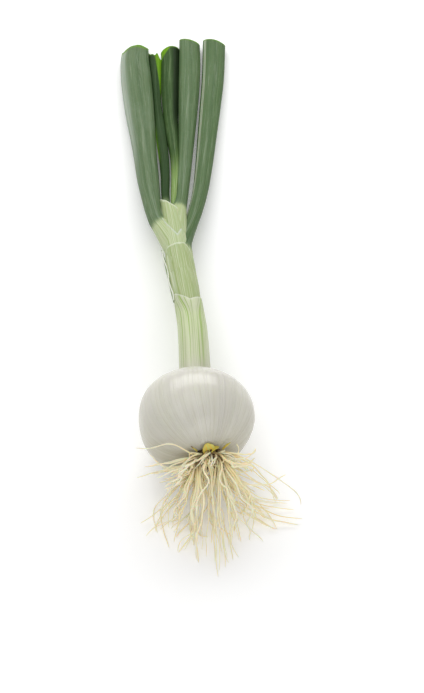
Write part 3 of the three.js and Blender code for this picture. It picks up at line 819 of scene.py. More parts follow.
# Each leaf's stations are (x, y, z, half width, half height). It ends at "end", along Y, plus its cut by the cosine of
# the angle round it, less "slope" by the sine. It turns green between the two places in "green" and is a blade from
# "blade" on, with sides drawn out by the power "edge".
LEAVES = {
    "outer_right_leaf": {
        "stations": (
            (3.3, 71, 22.3, 6.1, 6.1), (3.1, 80, 21.3, 6.8, 6.8), (2.7, 88, 20.5, 7.2, 7.2),
            (2, 100, 19.3, 7.3, 7.3), (1.6, 108, 18.5, 7.4, 7.4), (2.2, 115, 17.4, 6.9, 6.6),
            (4, 122, 16, 5.4, 5.2), (6.8, 129, 14.4, 4.4, 4.2), (10.2, 138, 12.5, 4, 3.6),
            (14, 149, 10.8, 4.1, 3.3), (18.2, 164, 9, 4.4, 3.2), (22, 182, 7.6, 4.9, 3.3),
            (26.4, 206, 6.2, 5.5, 3.4), (30.4, 228, 5.3, 6.1, 3.6), (34.6, 252, 4.7, 6.6, 3.8),
            (38.4, 281, 4.4, 6.8, 3.9),
        ),
        "end": 283, "cut": lambda x: -2 * x - 1.5 * x * x,
        "green": (110, 122), "blade": 140, "slope": 2, "edge": 1.1,
        "relief": overlap, "margin": free_edge,
        "shades": {"leaf": (80, 108, 62), "bloom": (110, 130, 96), "stalk": (164, 178, 124)},
    },
    "left_leaf": {
        "stations": (
            (2.6, 80, 20.9, 5.9, 5.9), (2, 98, 19.3, 6.2, 6.2), (1.2, 112, 17.9, 6.7, 6.7),
            (0.2, 120, 17.1, 6.9, 6.7), (-2.2, 127, 16.4, 6.6, 6), (-5.2, 134, 15.6, 5.6, 5),
            (-7.9, 140, 14.7, 4.7, 4.2), (-9.3, 150, 13.2, 4.9, 4.1), (-9.9, 160, 11.8, 5.4, 4),
            (-10.3, 175, 10, 6.2, 4.2), (-10.3, 190, 8.5, 6.4, 4.3), (-10.3, 206, 7.4, 7, 4.5),
            (-10.5, 223, 6.4, 7.9, 4.7), (-10.5, 240, 5.6, 8.5, 4.8), (-10.4, 256, 5.1, 8.7, 4.8),
            (-9.9, 272, 4.8, 8.1, 4.6), (-8.4, 282, 4.6, 7.3, 4.4),
        ),
        "end": 284.6, "cut": left_cut, "green": (133, 141), "blade": 150, "slope": 4.2, "edge": 0.8,
        "rim": 2.4, "relief": folded, "margin": silver, "finish": "left_leaf_grey_green",
        "shades": {"edge": (204, 212, 202)},
    },
    "inner_right_leaf": {
        "stations": (
            (1.6, 105, 18.6, 5.2, 5.2), (1.4, 118, 17.4, 5.6, 5.6), (1.6, 130, 16.3, 6, 5.6),
            (2.4, 138, 15.5, 5.8, 5.2), (4.2, 146, 14.6, 4.6, 4.2), (6.2, 153, 13.6, 3.6, 3.3),
            (7.6, 160, 12.5, 3.5, 3), (9.2, 172, 10.8, 4, 3), (12, 190, 8.6, 4.3, 3.1), (15.2, 212, 6.9, 5, 3.4),
            (18.9, 240, 5.5, 6, 3.9), (21.6, 262, 4.7, 6.3, 4), (23.4, 281, 4.3, 6.1, 3.9),
        ),
        "end": 285, "cut": lambda x: -2 * x - 1.2 * x * x,
        "green": (145, 152), "blade": 160, "slope": 2.2, "edge": 0.95,
        "shades": {"leaf": (88, 114, 72), "bloom": (120, 138, 106), "stalk": (174, 188, 136)},
    },
    "narrow_leaf": {
        "stations": (
            (-1.9, 136, 15.5, 1.9, 1.7), (-2, 150, 14, 2.2, 1.9), (-1.8, 160, 12.8, 2.3, 1.9),
            (-0.6, 175, 10.8, 2.5, 2), (0, 190, 9, 2.8, 2.2), (-0.1, 206, 7.5, 3.0, 2.2), (0, 222, 6.2, 2.7, 2),
            (0.2, 238, 4.6, 2.5, 1.9), (1, 255, 3.2, 3.3, 1.9), (1.8, 270, 2.5, 4.1, 1.9),
            (2.4, 279, 2.4, 4.5, 1.9),
        ),
        "end": 280, "cut": lambda x: -1.5 * np.cos(x * 4.5) ** 2 - 0.6 * x,
        "green": (150, 160), "blade": 165, "slope": 2, "edge": 1, "thin": 0.7, "glow": glow,
        "notch": ((0, 8), (40, 4), (75, 0), (112, 1.6), (135, 0.4), (180, 1), (300, 5), (330, 8)),
        # The narrow leaf's greens are darker than the others': partly its own deeper green, partly painted shade where
        # it lies between its neighbours.
        "shades": {
            "leaf": (46, 72, 34), "deep": (26, 52, 14), "bloom": (66, 90, 54), "stalk": (88, 116, 60),
            "line": (54, 82, 36), "smear": (76, 98, 62), "gloss": 0.15,
        },
    },
    "middle_leaf": {
        "stations": (
            (2.0, 136, 15.4, 2, 2), (2.4, 150, 13.9, 2, 2), (3.3, 160, 12.7, 2, 2.1), (4.8, 172, 11.1, 2.3, 2.4),
            (6.3, 188, 9.1, 2.7, 2.7), (6.5, 205, 7.4, 3.5, 3.0), (6.9, 222, 6.2, 4.2, 3.3),
            (8, 238, 5.2, 5.1, 3.6), (9.4, 254, 4.2, 5.4, 3.7), (10.9, 270, 3.7, 5.3, 3.6),
            (11.5, 280, 3.6, 5.6, 3.5),
        ),
        "end": 281, "cut": lambda x: 1.4 * x - 2.4 * x * x,
        "green": (160, 205), "blade": 172, "slope": 1.5, "edge": 1, "thin": 0.7, "margin": painted_shadow_flank, "glow": lit_corner,
        # The youngest leaf's blade greens are darker partly as painted shade; its stalk keeps its own bright green.
        "shades": {
            "leaf": (58, 86, 40), "deep": (32, 62, 16), "bloom": (86, 110, 70), "stalk": (112, 148, 52),
            # The edge colour here is painted shadow, laid on the right flank by the margin mask.
            "line": (82, 118, 32), "edge": (10, 28, 6), "smear": (130, 150, 110), "gloss": 0.15,
        },
    },
}

# The rim that a sheath ends in, round the next younger leaf: its line and radius, how far along Y the rim reaches by
# the angle round it, where it starts and turns green, and how wide its whitish edge is.
SLEEVES = {
    "outer_right_rim": {
        "stations": ((2.35, 94, 19.85, 7.3), (2, 100, 19.3, 7.42), (1.6, 108, 18.5, 7.5), (1.2, 116, 17.65, 7.3)),
        "rim": ((60, 115.5), (145, 115.3), (30, 111), (0, 108), (180, 112.5), (270, 112)),
        "start": 95, "green": (200, 201), "pale": 1.0,
    },
    "left_rim": {
        "stations": (
            (1.6, 106, 18.5, 6.45), (1.2, 112, 17.9, 6.8), (0.6, 120, 17.1, 6.95), (0.1, 128, 16.2, 6.8),
            (-0.8, 138, 15.2, 6.2),
        ),
        "rim": ((270, 134), (0, 134), (30, 132), (80, 122.5), (110, 130), (135, 138), (160, 142), (200, 142)),
        "start": 108, "green": (136, 150), "pale": 1.7,
    },
    "inner_right_rim": {
        "stations": ((1.4, 118, 17.4, 5.65), (1.2, 130, 16.3, 6.05), (0.5, 142, 15.2, 5.65), (-0.6, 153, 14, 4.4)),
        "rim": ((170, 156), (110, 151), (80, 147), (60, 145), (0, 143), (270, 150)),
        "start": 120, "green": (300, 301), "pale": 1.4,
    },
}


def build_leaf(name, plan, finish, wall_thickness, seed):
    """One leaf: an ellipse at each station, its sides drawn to softer edges where it is a blade, by raising the
    sine to a power. Ribs along it are a sum of waves, and its underside is flat where it rests on the table."""
    course = Course(plan["stations"])
    relief, margin, shine = (plan.get(key, nothing) for key in ("relief", "margin", "glow"))

    def end(theta):
        far = course.reach(plan["end"]) + plan["cut"](np.cos(theta)) - plan["slope"] * np.sin(theta)
        return far - (table_of(theta, plan["notch"]) if "notch" in plan else 0)

    wall = Wall(0, end, wall_thickness, LEAF_HOLLOW, rows=230, sides=128, lip=6, back=18)
    y = course.at(wall.s)[0][..., 1]
    blade = ease(plan["blade"] - 14, plan["blade"] + 20, y)
    sine = np.sin(wall.theta)
    edge = np.sign(sine) * np.abs(sine) ** (1 + (plan["edge"] - 1) * blade)
    ribs = (
        ripple(wall.theta, wall.s, (13, 19, 29, 41), seed) * (0.05 + 0.05 * blade)
        + ripple(wall.theta, wall.s, (2, 3, 5), seed + 7, 0.045) * 0.22 * blade
        + relief(wall.theta, y)
    ) * (wall.inner == 0)
    width = course.value(0, wall.s) - wall.inset + ribs
    height = course.value(1, wall.s) - wall.inset + ribs
    grid = swept(course, wall.s, width * np.cos(wall.theta), height * edge)
    grid[..., 2] = np.maximum(grid[..., 2], wall.inset)

    rim = 0.8 * (1 - ease(0, plan.get("rim", 1.1), wall.end - wall.s))
    tone = np.stack([
        ease(*plan["green"], y),
        margin(wall.theta, y) * (wall.inner == 0),
        np.where(wall.inner > 0, 1, np.maximum(rim, shine(wall.theta, y))),
    ], -1)
    piece = put_tube(name + "_skin", grid, grain_of(wall.theta, wall.s, LEAF_GRAIN), tone, finish)
    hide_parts(name)


def build_sleeve(name, plan, finish, wall_thickness, seed):
    """A sheath's rim: a short round tube whose end follows the rim, whitish and thin where it ends."""
    course = Course(plan["stations"])
    start, pale = course.reach(plan["start"]), plan["pale"]

    def end(theta):
        return course.reach(table_of(theta, plan["rim"]))

    wall = Wall(start, end, wall_thickness, RIM_HOLLOW, rows=70, sides=128, back=10)
    y = course.at(wall.s)[0][..., 1]
    ribs = ripple(wall.theta, wall.s, (13, 19, 29, 41), seed) * 0.05 * (wall.inner == 0)
    drop = wall.end - wall.s
    flare = 0.12 * ripple(wall.theta, wall.s, (3, 5, 8), seed + 3) * ease(4, 0, drop)
    span = course.value(0, wall.s) - wall.inset + ribs + flare - 0.5 * ease(3, 0, wall.s - start)
    grid = swept(course, wall.s, span * np.cos(wall.theta), span * np.sin(wall.theta))
    uneven = drop + 0.5 * ripple(wall.theta, 0, (5, 9, 14), seed)
    membrane = np.where(wall.inner > 0, 0.7, 0.75 * (1 - ease(pale * 0.3, pale * 1.4, uneven)))
    tone = np.stack([ease(*plan["green"], y) * 0.8, membrane, 0 * y], -1)
    put_tube(name, grid, grain_of(wall.theta, wall.s, LEAF_GRAIN), tone, finish)


def build_leaves(context):
    """All five leaves and the rims of their sheaths."""
    colours, sizes = context.scene.onion_colours, context.scene.onion_sizes
    finishes = {
        name: leaf_finish(plan.get("finish", name + "_green"), colours, **plan["shades"])
        for name, plan in LEAVES.items()
    }
    for seed, (name, plan) in enumerate(LEAVES.items(), 30):
        build_leaf(name, plan, finishes[name], sizes.leaf_wall / MM * plan.get("thin", 1), seed)
    for seed, (name, plan) in enumerate(SLEEVES.items(), 60):
        build_sleeve(name, plan, finishes[name.replace("_rim", "_leaf")], sizes.rim_wall / MM * 0.8, seed)


# ---------------------------------------------------------------- the roots


GOLDEN_TURN = math.pi * (3 - math.sqrt(5))  # from one seed of a sunflower to the next
ROOT_RINGS = 46  # how many rings of points a long root has
ROOT_GAP = 0.9  # between a root's middle and the bulb


def clear_of_bulb(points, gap):
    """Moves points that are inside the bulb's base, an ellipsoid shorter along its axis, out to a gap from it."""
    away = points - BULB_CENTRE
    axial = away @ BASE_OUT
    radial = np.sqrt(np.maximum(0, (away**2).sum(-1) - axial**2))
    level = np.sqrt((axial / (BASE_DEPTH + gap)) ** 2 + (radial / (BULB_WIDTH / 2 + gap)) ** 2)
    push = np.where(level < 1, 1 / np.maximum(level, 0.05), 1)
    return BULB_CENTRE + away * push[..., None]


def bezier(first, leave, settle, last, t):
    """Cubic Bezier curves, one for each row of control points, at shares t."""
    t = t[None, :, None]
    a, b, c, d = (p[:, None, :] for p in (first, leave, settle, last))
    return a * (1 - t) ** 3 + 3 * b * t * (1 - t) ** 2 + 3 * c * t**2 * (1 - t) + d * t**3


def strand_grids(paths, radii, sides):
    """Round tubes along many paths at once: a circle at each point, on two vectors across the path that turn as
    little as they can from one point to the next."""
    along = np.gradient(paths, axis=1)
    along /= np.linalg.norm(along, axis=-1, keepdims=True)
    across = np.zeros_like(paths)
    side = np.cross(along[:, 0], (0.31, 0.17, 0.93))
    for k in range(paths.shape[1]):
        side = side - (side * along[:, k]).sum(-1, keepdims=True) * along[:, k]
        side = side / np.linalg.norm(side, axis=-1, keepdims=True)
        across[:, k] = side
    up = np.cross(across, along)
    turn = np.arange(sides) * 2 * math.pi / sides
    ring = across[:, :, None] * np.cos(turn)[:, None] + up[:, :, None] * np.sin(turn)[:, None]
    return paths[:, :, None] + ring * radii[:, :, None, None]


def wander(paths, picks, amount):
    """Adds slow waves to paths, none at the foot and most near the tip, in two directions across them."""
    count, rings = paths.shape[:2]
    t = np.linspace(0, 1, rings)[None, :]
    shift = np.zeros_like(paths)
    for waves, weight in ((0.6, 1.9), (1.3, 1.0), (3.1, 0.35), (6.5, 0.1)):
        phase = picks.rand(count, 1, 2) * 2 * math.pi
        pace = waves * (0.75 + 0.5 * picks.rand(count, 1, 1))
        size = weight * picks.uniform(0.4, 1.2, (count, 1, 1))
        wave = np.sin(2 * math.pi * pace * t[..., None] + phase) * size
        shift[..., 0] += wave[..., 0]
        shift[..., 2] += wave[..., 1] * 0.7
        shift[..., 1] += wave[..., 1] * 0.4
    return paths + shift * (amount * ease(0.03, 0.7, t))[..., None]


def put_strands(name, paths, radii, picks, finish, sides, dark_foot):
    """Many strands as one piece. Each keeps off the bulb and above the table, and is closed at both ends. It is
    brown at its foot, up to a share of its length."""
    paths = clear_of_bulb(paths, ROOT_GAP)
    paths[..., 2] = np.maximum(paths[..., 2], radii)
    grids = strand_grids(paths, radii, sides)
    count, rings = paths.shape[:2]
    t = np.linspace(0, 1, rings)[None, :, None] * np.ones((count, 1, sides))
    tone = np.stack([picks.rand(count, 1, 1) + 0 * t, t, 0.85 * ease(dark_foot, 0.02, t)], -1)
    turn = np.arange(sides) * 2 * math.pi / sides
    grain = np.stack([np.cos(turn) + 0 * t, np.sin(turn) + 0 * t, t * 40 + 90 * picks.rand(count, 1, 1)], -1)
    size = rings * sides + 2
    quads, fans = grid_faces(rings, sides)
    lift = np.arange(count)[:, None, None] * size

    def listed(values):
        body = values.reshape(count, rings * sides, 3)
        return np.concatenate([body, values[:, :1].mean(2), values[:, -1:].mean(2)], 1).reshape(-1, 3)

    return put_mesh(
        name, listed(grids), (quads[None] + lift).reshape(-1, 4), (fans[None] + lift).reshape(-1, 3),
        {"grain": listed(grain), "tone": listed(tone)}, finish,
    )


def tapered(count, rings, foot, tip, picks, spread):
    """Radii that fall from foot to tip by the share along to the power 0.7, times slow swells, and close at the very
    tip by a square root. Each strand is a little thicker or thinner."""
    t = np.linspace(0, 1, rings)[None, :]
    end = np.sqrt(np.clip((1 - t) * 14, 0, 1))
    swell = 1 + 0.08 * np.sin(2 * math.pi * (picks.rand(count, 1) + t * 4))
    size = picks.uniform(1 - spread, 1 + spread, (count, 1))
    return (foot + (tip - foot) * t**0.7) * swell * size * (0.35 + 0.65 * end)


def grow(context, name, paths, picks, foot, tip, waves, spread=0.15, sides=8, dark_foot=0.2):
    """Strands along paths as one piece, with waves added and radii that fall from foot to tip. Foot, tip and waves
    are in millimetres."""
    paths = wander(paths, picks, waves)
    radii = tapered(*paths.shape[:2], foot, tip, picks, spread)
    return put_strands(name, paths, radii, picks, root_finish(context.scene.onion_colours), sides, dark_foot)


def main_root_paths():
    """The routes of the main roots. Each is a cubic Bezier curve: the roots sit on the plate in the pattern of
    sunflower seeds and fan out by their place on it, the highest sideways round the bulb, the others down to the
    table."""
    n = np.arange(len(ROOT_NODES))
    table = 0.6  # how high a strand's middle is when it lies on the table

    def vary(k):
        return (2 * ((k * 0.618034) % 1) - 1)[:, None]

    radius = 0.28 + 0.72 * np.sqrt((n + 0.5) / len(n))
    turn = n * GOLDEN_TURN
    right, up = (radius * np.cos(turn))[:, None], (radius * np.sin(turn))[:, None]
    side = right / np.sqrt(1 - up**2)
    in_air = up > 0.62
    height = (up + 1) / 1.62
    spread = side * np.where(side < 0, 63, 76) + np.where(in_air, 26 * side + 6 * vary(n + 9), 3 * vary(n + 10))
    spread = spread + 6 * np.sin(np.radians(spread * 9 + 40)) + 7 * vary(n * 3 + 2)
    angle = np.radians(spread)
    out = np.hstack([np.sin(angle), -np.cos(angle), 0 * angle])
    aside = np.hstack([-out[:, 1:2], out[:, :1], 0 * angle])
    first = on_crown(right[:, 0] * 5.9, up[:, 0] * 5.9, np.full(len(n), 1.0))

    def level(points, z):
        return np.hstack([points[:, :2], z])

    z = first[:, 2:]
    lift = 6 * (up - 0.62) / 0.38
    air_last = level(first + out * 27 * (1 + 0.15 * vary(n + 23)), z - 13 + 5 * np.abs(side) + lift)
    air_leave = level(first + BASE_OUT * 10 + out * 7, z + 2 + lift)
    air_settle = level(air_last - out * 9, z - 2 + lift)
    reach = (27 + 14 * height) * (1 + 0.07 * side + 0.14 * vary(n + 16))
    last = level(first + out * reach, table + 0 * z)
    leave = first + BASE_OUT * (7 + 6 * height) + out * (4 + 6 * height) + aside * 1.5 * vary(n + 28)
    settle = level(last - out * 0.42 * reach + aside * 2.5 * vary(n + 29), table + 3 * height)
    pick = [np.where(in_air, a, b) for a, b in ((air_leave, leave), (air_settle, settle), (air_last, last))]
    return bezier(first, *pick, np.linspace(0, 1, ROOT_RINGS))


def bunched(paths):
    """Draws strands together as they near the table. Each moves aside by a sine of its place, so that they gather
    every 12 mm, and those half way out are pulled in by up to a quarter."""
    middle = on_crown(0, 0, 0)[0]
    paths = paths.copy()
    aside = paths[..., 0] - middle
    late = ease(0.15, 0.75, np.linspace(0, 1, paths.shape[1]))
    pull = 0.28 * ease(4, 16, np.abs(aside)) * ease(44, 32, np.abs(aside))
    paths[..., 0] = middle + aside * (1 - pull * late) - 1.8 * late * np.sin(aside * math.pi / 6)
    return parted(paths, 3.6)


def parted(paths, amount):
    """Parts strands a little way out from the plate, so that its dark middle shows between them: each moves aside by
    the amount times the hyperbolic tangent of its place and a bell round the middle."""
    aside = paths[..., 0] - on_crown(0, 0, 0)[0]
    t = np.linspace(0, 1, paths.shape[1])
    paths[..., 0] += amount * ease(0, 0.06, t) * ease(0.5, 0.22, t) * np.tanh(aside) * np.exp(-((aside / 6) ** 2))
    return paths


# Bunches of fine roots: how far aside and how far forward they end, how wide they spread, and how many there are.
ROOT_BUNCHES = (
    (-21, 28, 2.0, 3), (-12, 37, 1.6, 6), (-6, 34, 1.5, 7), (0, 44, 1.4, 9), (5, 40, 1.5, 7), (12, 32, 1.6, 6),
    (20, 36, 2.2, 4), (37, 14, 4, 5), (-27, 20, 4, 3),
)

# Roots that curl out to the sides and across the others, each through a few points, and how many shorter companions
# each has.
COMPANIONS = (0, 2, 3, 2, 0, 0, 1, 3, 3, 2, 1, 0, 1, 1, 1)
STRAY_ROOTS = (
    ((-4, -25, 36), (-6, -26, 40), (-14, -22, 43), (-22, -18, 36), (-31, -11, 25)),
    ((-4, -26, 34), (-8, -27, 37), (-16, -26, 33), (-28, -21, 23)),
    ((-2, -26, 32), (-9, -29, 34), (-18, -27, 31), (-25, -20, 31)),
    ((-3, -26, 29), (-8, -30, 31), (-21, -24, 21), (-31, -22, 16)),
    ((5, -26, 29), (10, -27, 30), (16, -26, 31), (19, -23, 34), (17, -22, 38)),
    ((5, -27, 28), (10, -29, 28), (16, -31, 26), (25, -29, 25)),
    ((6, -27, 26), (12, -31, 27), (20, -36, 22), (32, -36, 22), (41, -33, 24)),
    ((6, -27, 27), (10, -31, 27), (18, -33, 18), (30, -37, 9), (43, -39, 6)),
    ((6, -27, 25), (9, -31, 23), (18, -34, 12), (29, -37, 4), (44, -40, 1)),
    ((4, -26, 24), (9, -30, 18), (17, -38, 4), (25, -44, 1), (33, -51, 1)),
    ((5, -26, 25), (11, -30, 18), (21, -33, 8), (30, -39, 1), (36, -51, 1)),
    ((1, -26, 27), (0, -31, 20), (1, -38, 8), (-4, -44, 2), (-3, -50, 1), (1, -51, 1)),
    ((-2, -25, 24), (-7, -28, 16), (-17, -31, 5), (-27, -38, 1), (-32, -41, 1)),
    ((-4, -25, 24), (-11, -27, 14), (-22, -33, 2), (-22, -45, 1), (-20, -56, 1)),
    ((-3, -25, 23), (-9, -28, 14), (-15, -31, 3), (-23, -40, 1), (-30, -48, 1)),
)


# Roots close to the plate that cross its face or curl away from it, each through a few places that are right, high
# and out from its middle.
CROSSING_ROOTS = (
    ((-2, 5, 1.5), (-1, 4, 4), (1.2, 0, 5), (2.5, -3, 6), (3.5, -7, 7)),
    ((3.5, 5, 1.5), (3, 3.5, 4), (0.5, 0, 5.5), (-1.5, -4, 6.5), (-2.5, -8, 7)),
    ((-4, 4.5, 1), (-7, 5.5, 2.5), (-11, 5, 3.5), (-16, 2, 4)),
    ((-3, 5.5, 1), (-6, 7, 2), (-10, 6.5, 3), (-14, 3, 4.5), (-19, -2, 5)),
    ((-5, 2, 1), (-9, 2.5, 3), (-14, 0, 4), (-20, -3, 3)),
    ((4, 4, 1), (7, 5, 2.5), (10, 4, 3.5), (13, 1, 4.5)),
    ((5, 2, 1), (8, 2, 3), (12, -1, 5), (15, -4, 6)),
    ((-5, -1, 1), (-9, -1, 3.5), (-15, -4, 5), (-21, -7, 4)),
    ((1, 5.5, 1), (0, 7, 2.5), (-3, 7, 4), (-6, 4, 5.5), (-8, 0, 6.5)),
    ((0, -3, 1), (1.5, -1, 4), (4, 0, 6), (7, -2, 8)),
    ((5.5, -1, 1), (9, -1.5, 3.5), (14, -4, 5), (19, -6, 6)),
    ((-2, -4, 1), (-4, -3, 4), (-7, -5, 6), (-12, -9, 7)),
)


def build_tuft(context):
    """Short roots that hide most of the basal plate but for its top middle. Each springs out from the plate, turns
    away from its middle in its own direction and droops: a cubic Bezier curve."""
    roots = context.scene.onion_roots
    picks = np.random.RandomState(roots.seed + 3)
    count, thick = roots.tuft_count, roots.thick / MM
    k = np.arange(count)[:, None]
    radius = 6.8 * np.sqrt(0.35 + 0.65 * (k + 0.5) / count)
    turn = k * GOLDEN_TURN + picks.normal(0, 0.15, (count, 1))
    bare = (np.sin(turn) > 0) & (np.abs(np.cos(turn)) < 0.7) & (picks.rand(count, 1) < 0.75)
    turn = np.where(bare, turn + math.pi, turn)
    first = on_crown((radius * np.cos(turn))[:, 0], (radius * np.sin(turn))[:, 0], np.full(count, 0.6))
    head = turn + picks.normal(0, 0.7, (count, 1))
    across, up = crown_axes()
    away = across * np.cos(head) + up * np.sin(head) * np.where(np.sin(head) > 0, 0.25, 0.9)
    size = picks.uniform(6, 18, (count, 1)) * (0.7 + 0.5 * np.abs(np.cos(head)))
    leave = first + BASE_OUT * picks.uniform(1.5, 5, (count, 1)) + away * size * 0.3
    settle = first + BASE_OUT * picks.uniform(3, 9, (count, 1)) + away * size * 0.8 + picks.normal(0, 1.6, (count, 3))
    last = first + BASE_OUT * picks.uniform(2, 7, (count, 1)) + away * size + picks.normal(0, 1.5, (count, 3))
    last[:, 2:] -= picks.uniform(0, 7, (count, 1))
    paths = bezier(first, leave, settle, last, np.linspace(0, 1, 30))
    grow(context, "crown_tuft", paths, picks, thick * 0.46, thick * 0.3, roots.waviness / MM * 0.5, 0.25, 7, 0.35)


def build_main_roots(context):
    """The main roots, on the frame's own routes but drawn together in bunches."""
    roots = context.scene.onion_roots
    picks = np.random.RandomState(roots.seed)
    thick, paths = roots.thick / MM, bunched(main_root_paths())
    piece = grow(context, "main_roots", paths, picks, thick / 2, thick / 3.6, roots.waviness / MM)
    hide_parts(*ROOT_NODES)


def build_stray_roots(context):
    """The roots that curl out to the sides, each with its companions, and those that cross the plate's face. A
    companion runs part of the same route and moves away from it by a random step that grows along it."""
    roots = context.scene.onion_roots
    picks = np.random.RandomState(roots.seed + 1)
    routes = [(Course(points), more) for points, more in zip(STRAY_ROOTS, COMPANIONS)]
    routes += [(Course([on_crown(*place) for place in points]), 1) for points in CROSSING_ROOTS]
    grown = [(route, share) for route, more in routes for share in (1, *picks.uniform(0.5, 0.95, more))]
    paths = np.stack([route.at(np.linspace(0, route.length * share, ROOT_RINGS))[0] for route, share in grown])
    shares = np.array([share for _, share in grown])[:, None, None]
    apart = picks.normal(0, 1, (len(grown), 1, 3)) * (2.6, 1.6, 2.2) * (shares < 1)
    paths = paths + apart * ease(0, 1, np.linspace(0, 1, ROOT_RINGS))[:, None]
    thick, waves = roots.thick / MM, roots.waviness / MM * 0.4
    grow(context, "stray_roots", paths, picks, thick * 0.42, thick * 0.24, waves, dark_foot=0.08)


def build_fine_roots(context):
    """Fine roots in bunches: cubic Bezier curves that fan out near the plate, then hang and run forward side by side,
    and come down to the table at different distances."""
    roots = context.scene.onion_roots
    picks = np.random.RandomState(roots.seed + 2)
    bunches = np.array(ROOT_BUNCHES, float)
    own = np.repeat(bunches, np.round(bunches[:, 3] * roots.fullness).astype(int), axis=0)
    count = len(own)
    aside = own[:, 0:1] + own[:, 2:3] * picks.normal(0, 1, (count, 1))
    forward = own[:, 1:2] * picks.uniform(0.55, 1.12, (count, 1))
    radius, turn = np.sqrt(picks.rand(count, 1)), picks.rand(count, 1) * 2 * math.pi
    right = np.clip(0.55 * radius * np.cos(turn) + aside / 45, -1, 1)
    first = on_crown(right[:, 0] * 6.4, (radius * np.sin(turn))[:, 0] * 5.8 - 0.4, np.full(count, 0.9))
    middle = on_crown(0, 0, 0)
    table = picks.rand(count, 1) < 0.6
    last = np.hstack([middle[0] + aside, middle[1] - forward, np.where(table, 0.4, picks.uniform(1, 10, (count, 1)))])
    rise = picks.uniform(3, 9, (count, 1))
    leave = first + BASE_OUT * rise + np.hstack([0.38 * aside, 0 * aside, picks.normal(0, 1.5, (count, 1))])
    sway, fall = picks.normal(0, 1.6, (count, 1)), picks.uniform(2, 12, (count, 1))
    ahead = np.hstack([-0.1 * aside + sway, 0.42 * forward, fall])
    paths = parted(bezier(first, leave, last + ahead, last, np.linspace(0, 1, 40)), 2.6)
    thin, waves = roots.thin / MM, roots.waviness / MM * 0.9
    grow(context, "fine_roots", paths, picks, thin / 2, thin / 3.6, waves, 0.25, 6)


# ---------------------------------------------------------------- the stage


TABLE_HALF = 6000  # half the table top's width
TABLE_DROP = 0.3  # how far its top is below the onion, so that the two don't flicker
CAMERA_RIGHT, CAMERA_HIGH = 7.5, 36.75  # how far the camera is moved aside to frame the whole onion


def back_of(azimuth, elevation):
    """Unit vector from what is looked at to the camera. Azimuth 0 looks along +Y."""
    level = math.cos(elevation)
    return Vector((math.sin(azimuth) * level, -math.cos(azimuth) * level, math.sin(elevation)))


def put_object(context, name, data):
    """A new object in the scene that shows a camera, a light or a mesh."""
    thing = bpy.data.objects.new(name, data)
    context.scene.collection.objects.link(thing)
    return thing


def build_camera(context):
    """A camera straight in front of the roots and well above them, that looks down on the onion."""
    stage = context.scene.onion_stage
    back = back_of(stage.azimuth, stage.elevation)
    right = Vector((math.cos(stage.azimuth), math.sin(stage.azimuth), 0))
    data = bpy.data.cameras.new("camera")
    data.lens, data.sensor_width, data.clip_end = stage.lens, 36, 50
    data.dof.use_dof = False
    camera = put_object(context, "camera", data)
    offset = right * (CAMERA_RIGHT * MM) + back.cross(right) * (CAMERA_HIGH * MM)
    camera.location = Vector(BULB_CENTRE * MM) + back * stage.distance + offset
    camera.rotation_euler = (-back).to_track_quat("-Z", "Y").to_euler()
    context.scene.camera = camera


def soft_light(context, name, place, aim, width, depth, watts):
    """A rectangle of light at a place, turned to what it is aimed at. In metres."""
    data = bpy.data.lights.new(name, "AREA")
    data.shape, data.size, data.size_y, data.energy = "RECTANGLE", width, depth, watts
    light = put_object(context, name, data)
    light.location = place
    light.rotation_euler = (Vector(aim) - Vector(place)).to_track_quat("-Z", "Y").to_euler()
    light.visible_camera = False


def build_stage(context):
    """A plain pale table top, an even sky, and wide soft lights above, behind the leaves and in front of the roots."""
    stage = context.scene.onion_stage
    corners = np.array([(-1, -1), (1, -1), (1, 1), (-1, 1)]) * TABLE_HALF * MM
    mesh = bpy.data.meshes.new("table_top")
    mesh.from_pydata([(x, y, -TABLE_DROP * MM) for x, y in corners.tolist()], [], [(0, 1, 2, 3)])
    mesh.materials.append(floor_finish(stage.floor))
    put_object(context, "table_top", mesh)
    soft_light(context, "overhead", (-0.35, -0.25, 1.3), (0, 0.08, 0), 1.3, 1.3, stage.overhead)
    soft_light(context, "behind", (0.0, 0.95, 0.72), (0, 0.02, 0.02), 1.4, 0.45, stage.back)
    soft_light(context, "front", (0.25, -1.0, 0.55), (0, -0.02, 0.02), 0.8, 0.6, stage.front)
    world = bpy.data.worlds.new("even_sky")
    world.use_nodes = True
    sky = world.node_tree.nodes["Background"].inputs
    sky["Color"].default_value = (1, 1, 1, 1)
    sky["Strength"].default_value = stage.sky
    context.scene.world = world
    context.scene.view_settings.view_transform = "Standard"


# ---------------------------------------------------------------- operators


class ONION_OT_bulb(Operator):
    """Build the white bulb with its neck and collar"""

    bl_idname = "onion.bulb"
    bl_label = "Bulb"

    def execute(self, context):
        build_bulb(context)
        build_dry_blade(context)
        return {"FINISHED"}


class ONION_OT_crown(Operator):
    """Build the basal plate and the scraps of old skin round it"""

    bl_idname = "onion.crown"
    bl_label = "Basal Plate"

    def execute(self, context):
        build_crown(context)
        build_scraps(context)
        return {"FINISHED"}


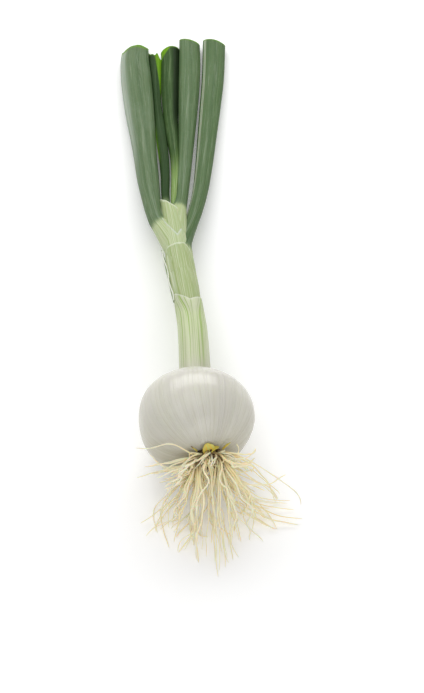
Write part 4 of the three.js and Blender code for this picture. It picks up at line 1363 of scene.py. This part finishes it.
class ONION_OT_leaves(Operator):
    """Build the five leaves and the rims of their sheaths"""

    bl_idname = "onion.leaves"
    bl_label = "Leaves"

    def execute(self, context):
        build_leaves(context)
        return {"FINISHED"}


class ONION_OT_roots(Operator):
    """Build the main, stray, fine and short roots"""

    bl_idname = "onion.roots"
    bl_label = "Roots"

    def execute(self, context):
        build_main_roots(context)
        build_stray_roots(context)
        build_fine_roots(context)
        build_tuft(context)
        return {"FINISHED"}


class ONION_OT_stage(Operator):
    """Build the table top, the lights and the camera"""

    bl_idname = "onion.stage"
    bl_label = "Stage"

    def execute(self, context):
        build_stage(context)
        build_camera(context)
        return {"FINISHED"}


class ONION_PT_sidebar(Panel):
    """Buttons for each part of the onion, and its settings"""

    bl_idname = "ONION_PT_sidebar"
    bl_label = "Fresh White Onion"
    bl_space_type = "VIEW_3D"
    bl_region_type = "UI"
    bl_category = "Onion"

    def draw(self, context):
        for operator in OPERATORS:
            self.layout.operator(operator.bl_idname)
        for key in GROUPS:
            box = self.layout.box()
            box.label(text=key.removeprefix("onion_").capitalize())
            group = getattr(context.scene, key)
            for name in group.__annotations__:
                box.prop(group, name)


GROUPS = {
    "onion_sizes": OnionSizes,
    "onion_roots": RootSettings,
    "onion_colours": OnionColours,
    "onion_stage": StageSettings,
}
OPERATORS = (ONION_OT_bulb, ONION_OT_crown, ONION_OT_leaves, ONION_OT_roots, ONION_OT_stage)


def register():
    for cls in (*GROUPS.values(), *OPERATORS, ONION_PT_sidebar):
        bpy.utils.register_class(cls)
    for key, group in GROUPS.items():
        setattr(bpy.types.Scene, key, PointerProperty(type=group))


def unregister():
    for key in GROUPS:
        delattr(bpy.types.Scene, key)
    for cls in reversed((*GROUPS.values(), *OPERATORS, ONION_PT_sidebar)):
        bpy.utils.unregister_class(cls)


def main():
    """Builds the onion and its stage."""
    register()
    bpy.ops.onion.bulb()
    bpy.ops.onion.crown()
    bpy.ops.onion.leaves()
    bpy.ops.onion.roots()
    bpy.ops.onion.stage()


if __name__ == "__main__":
    main()
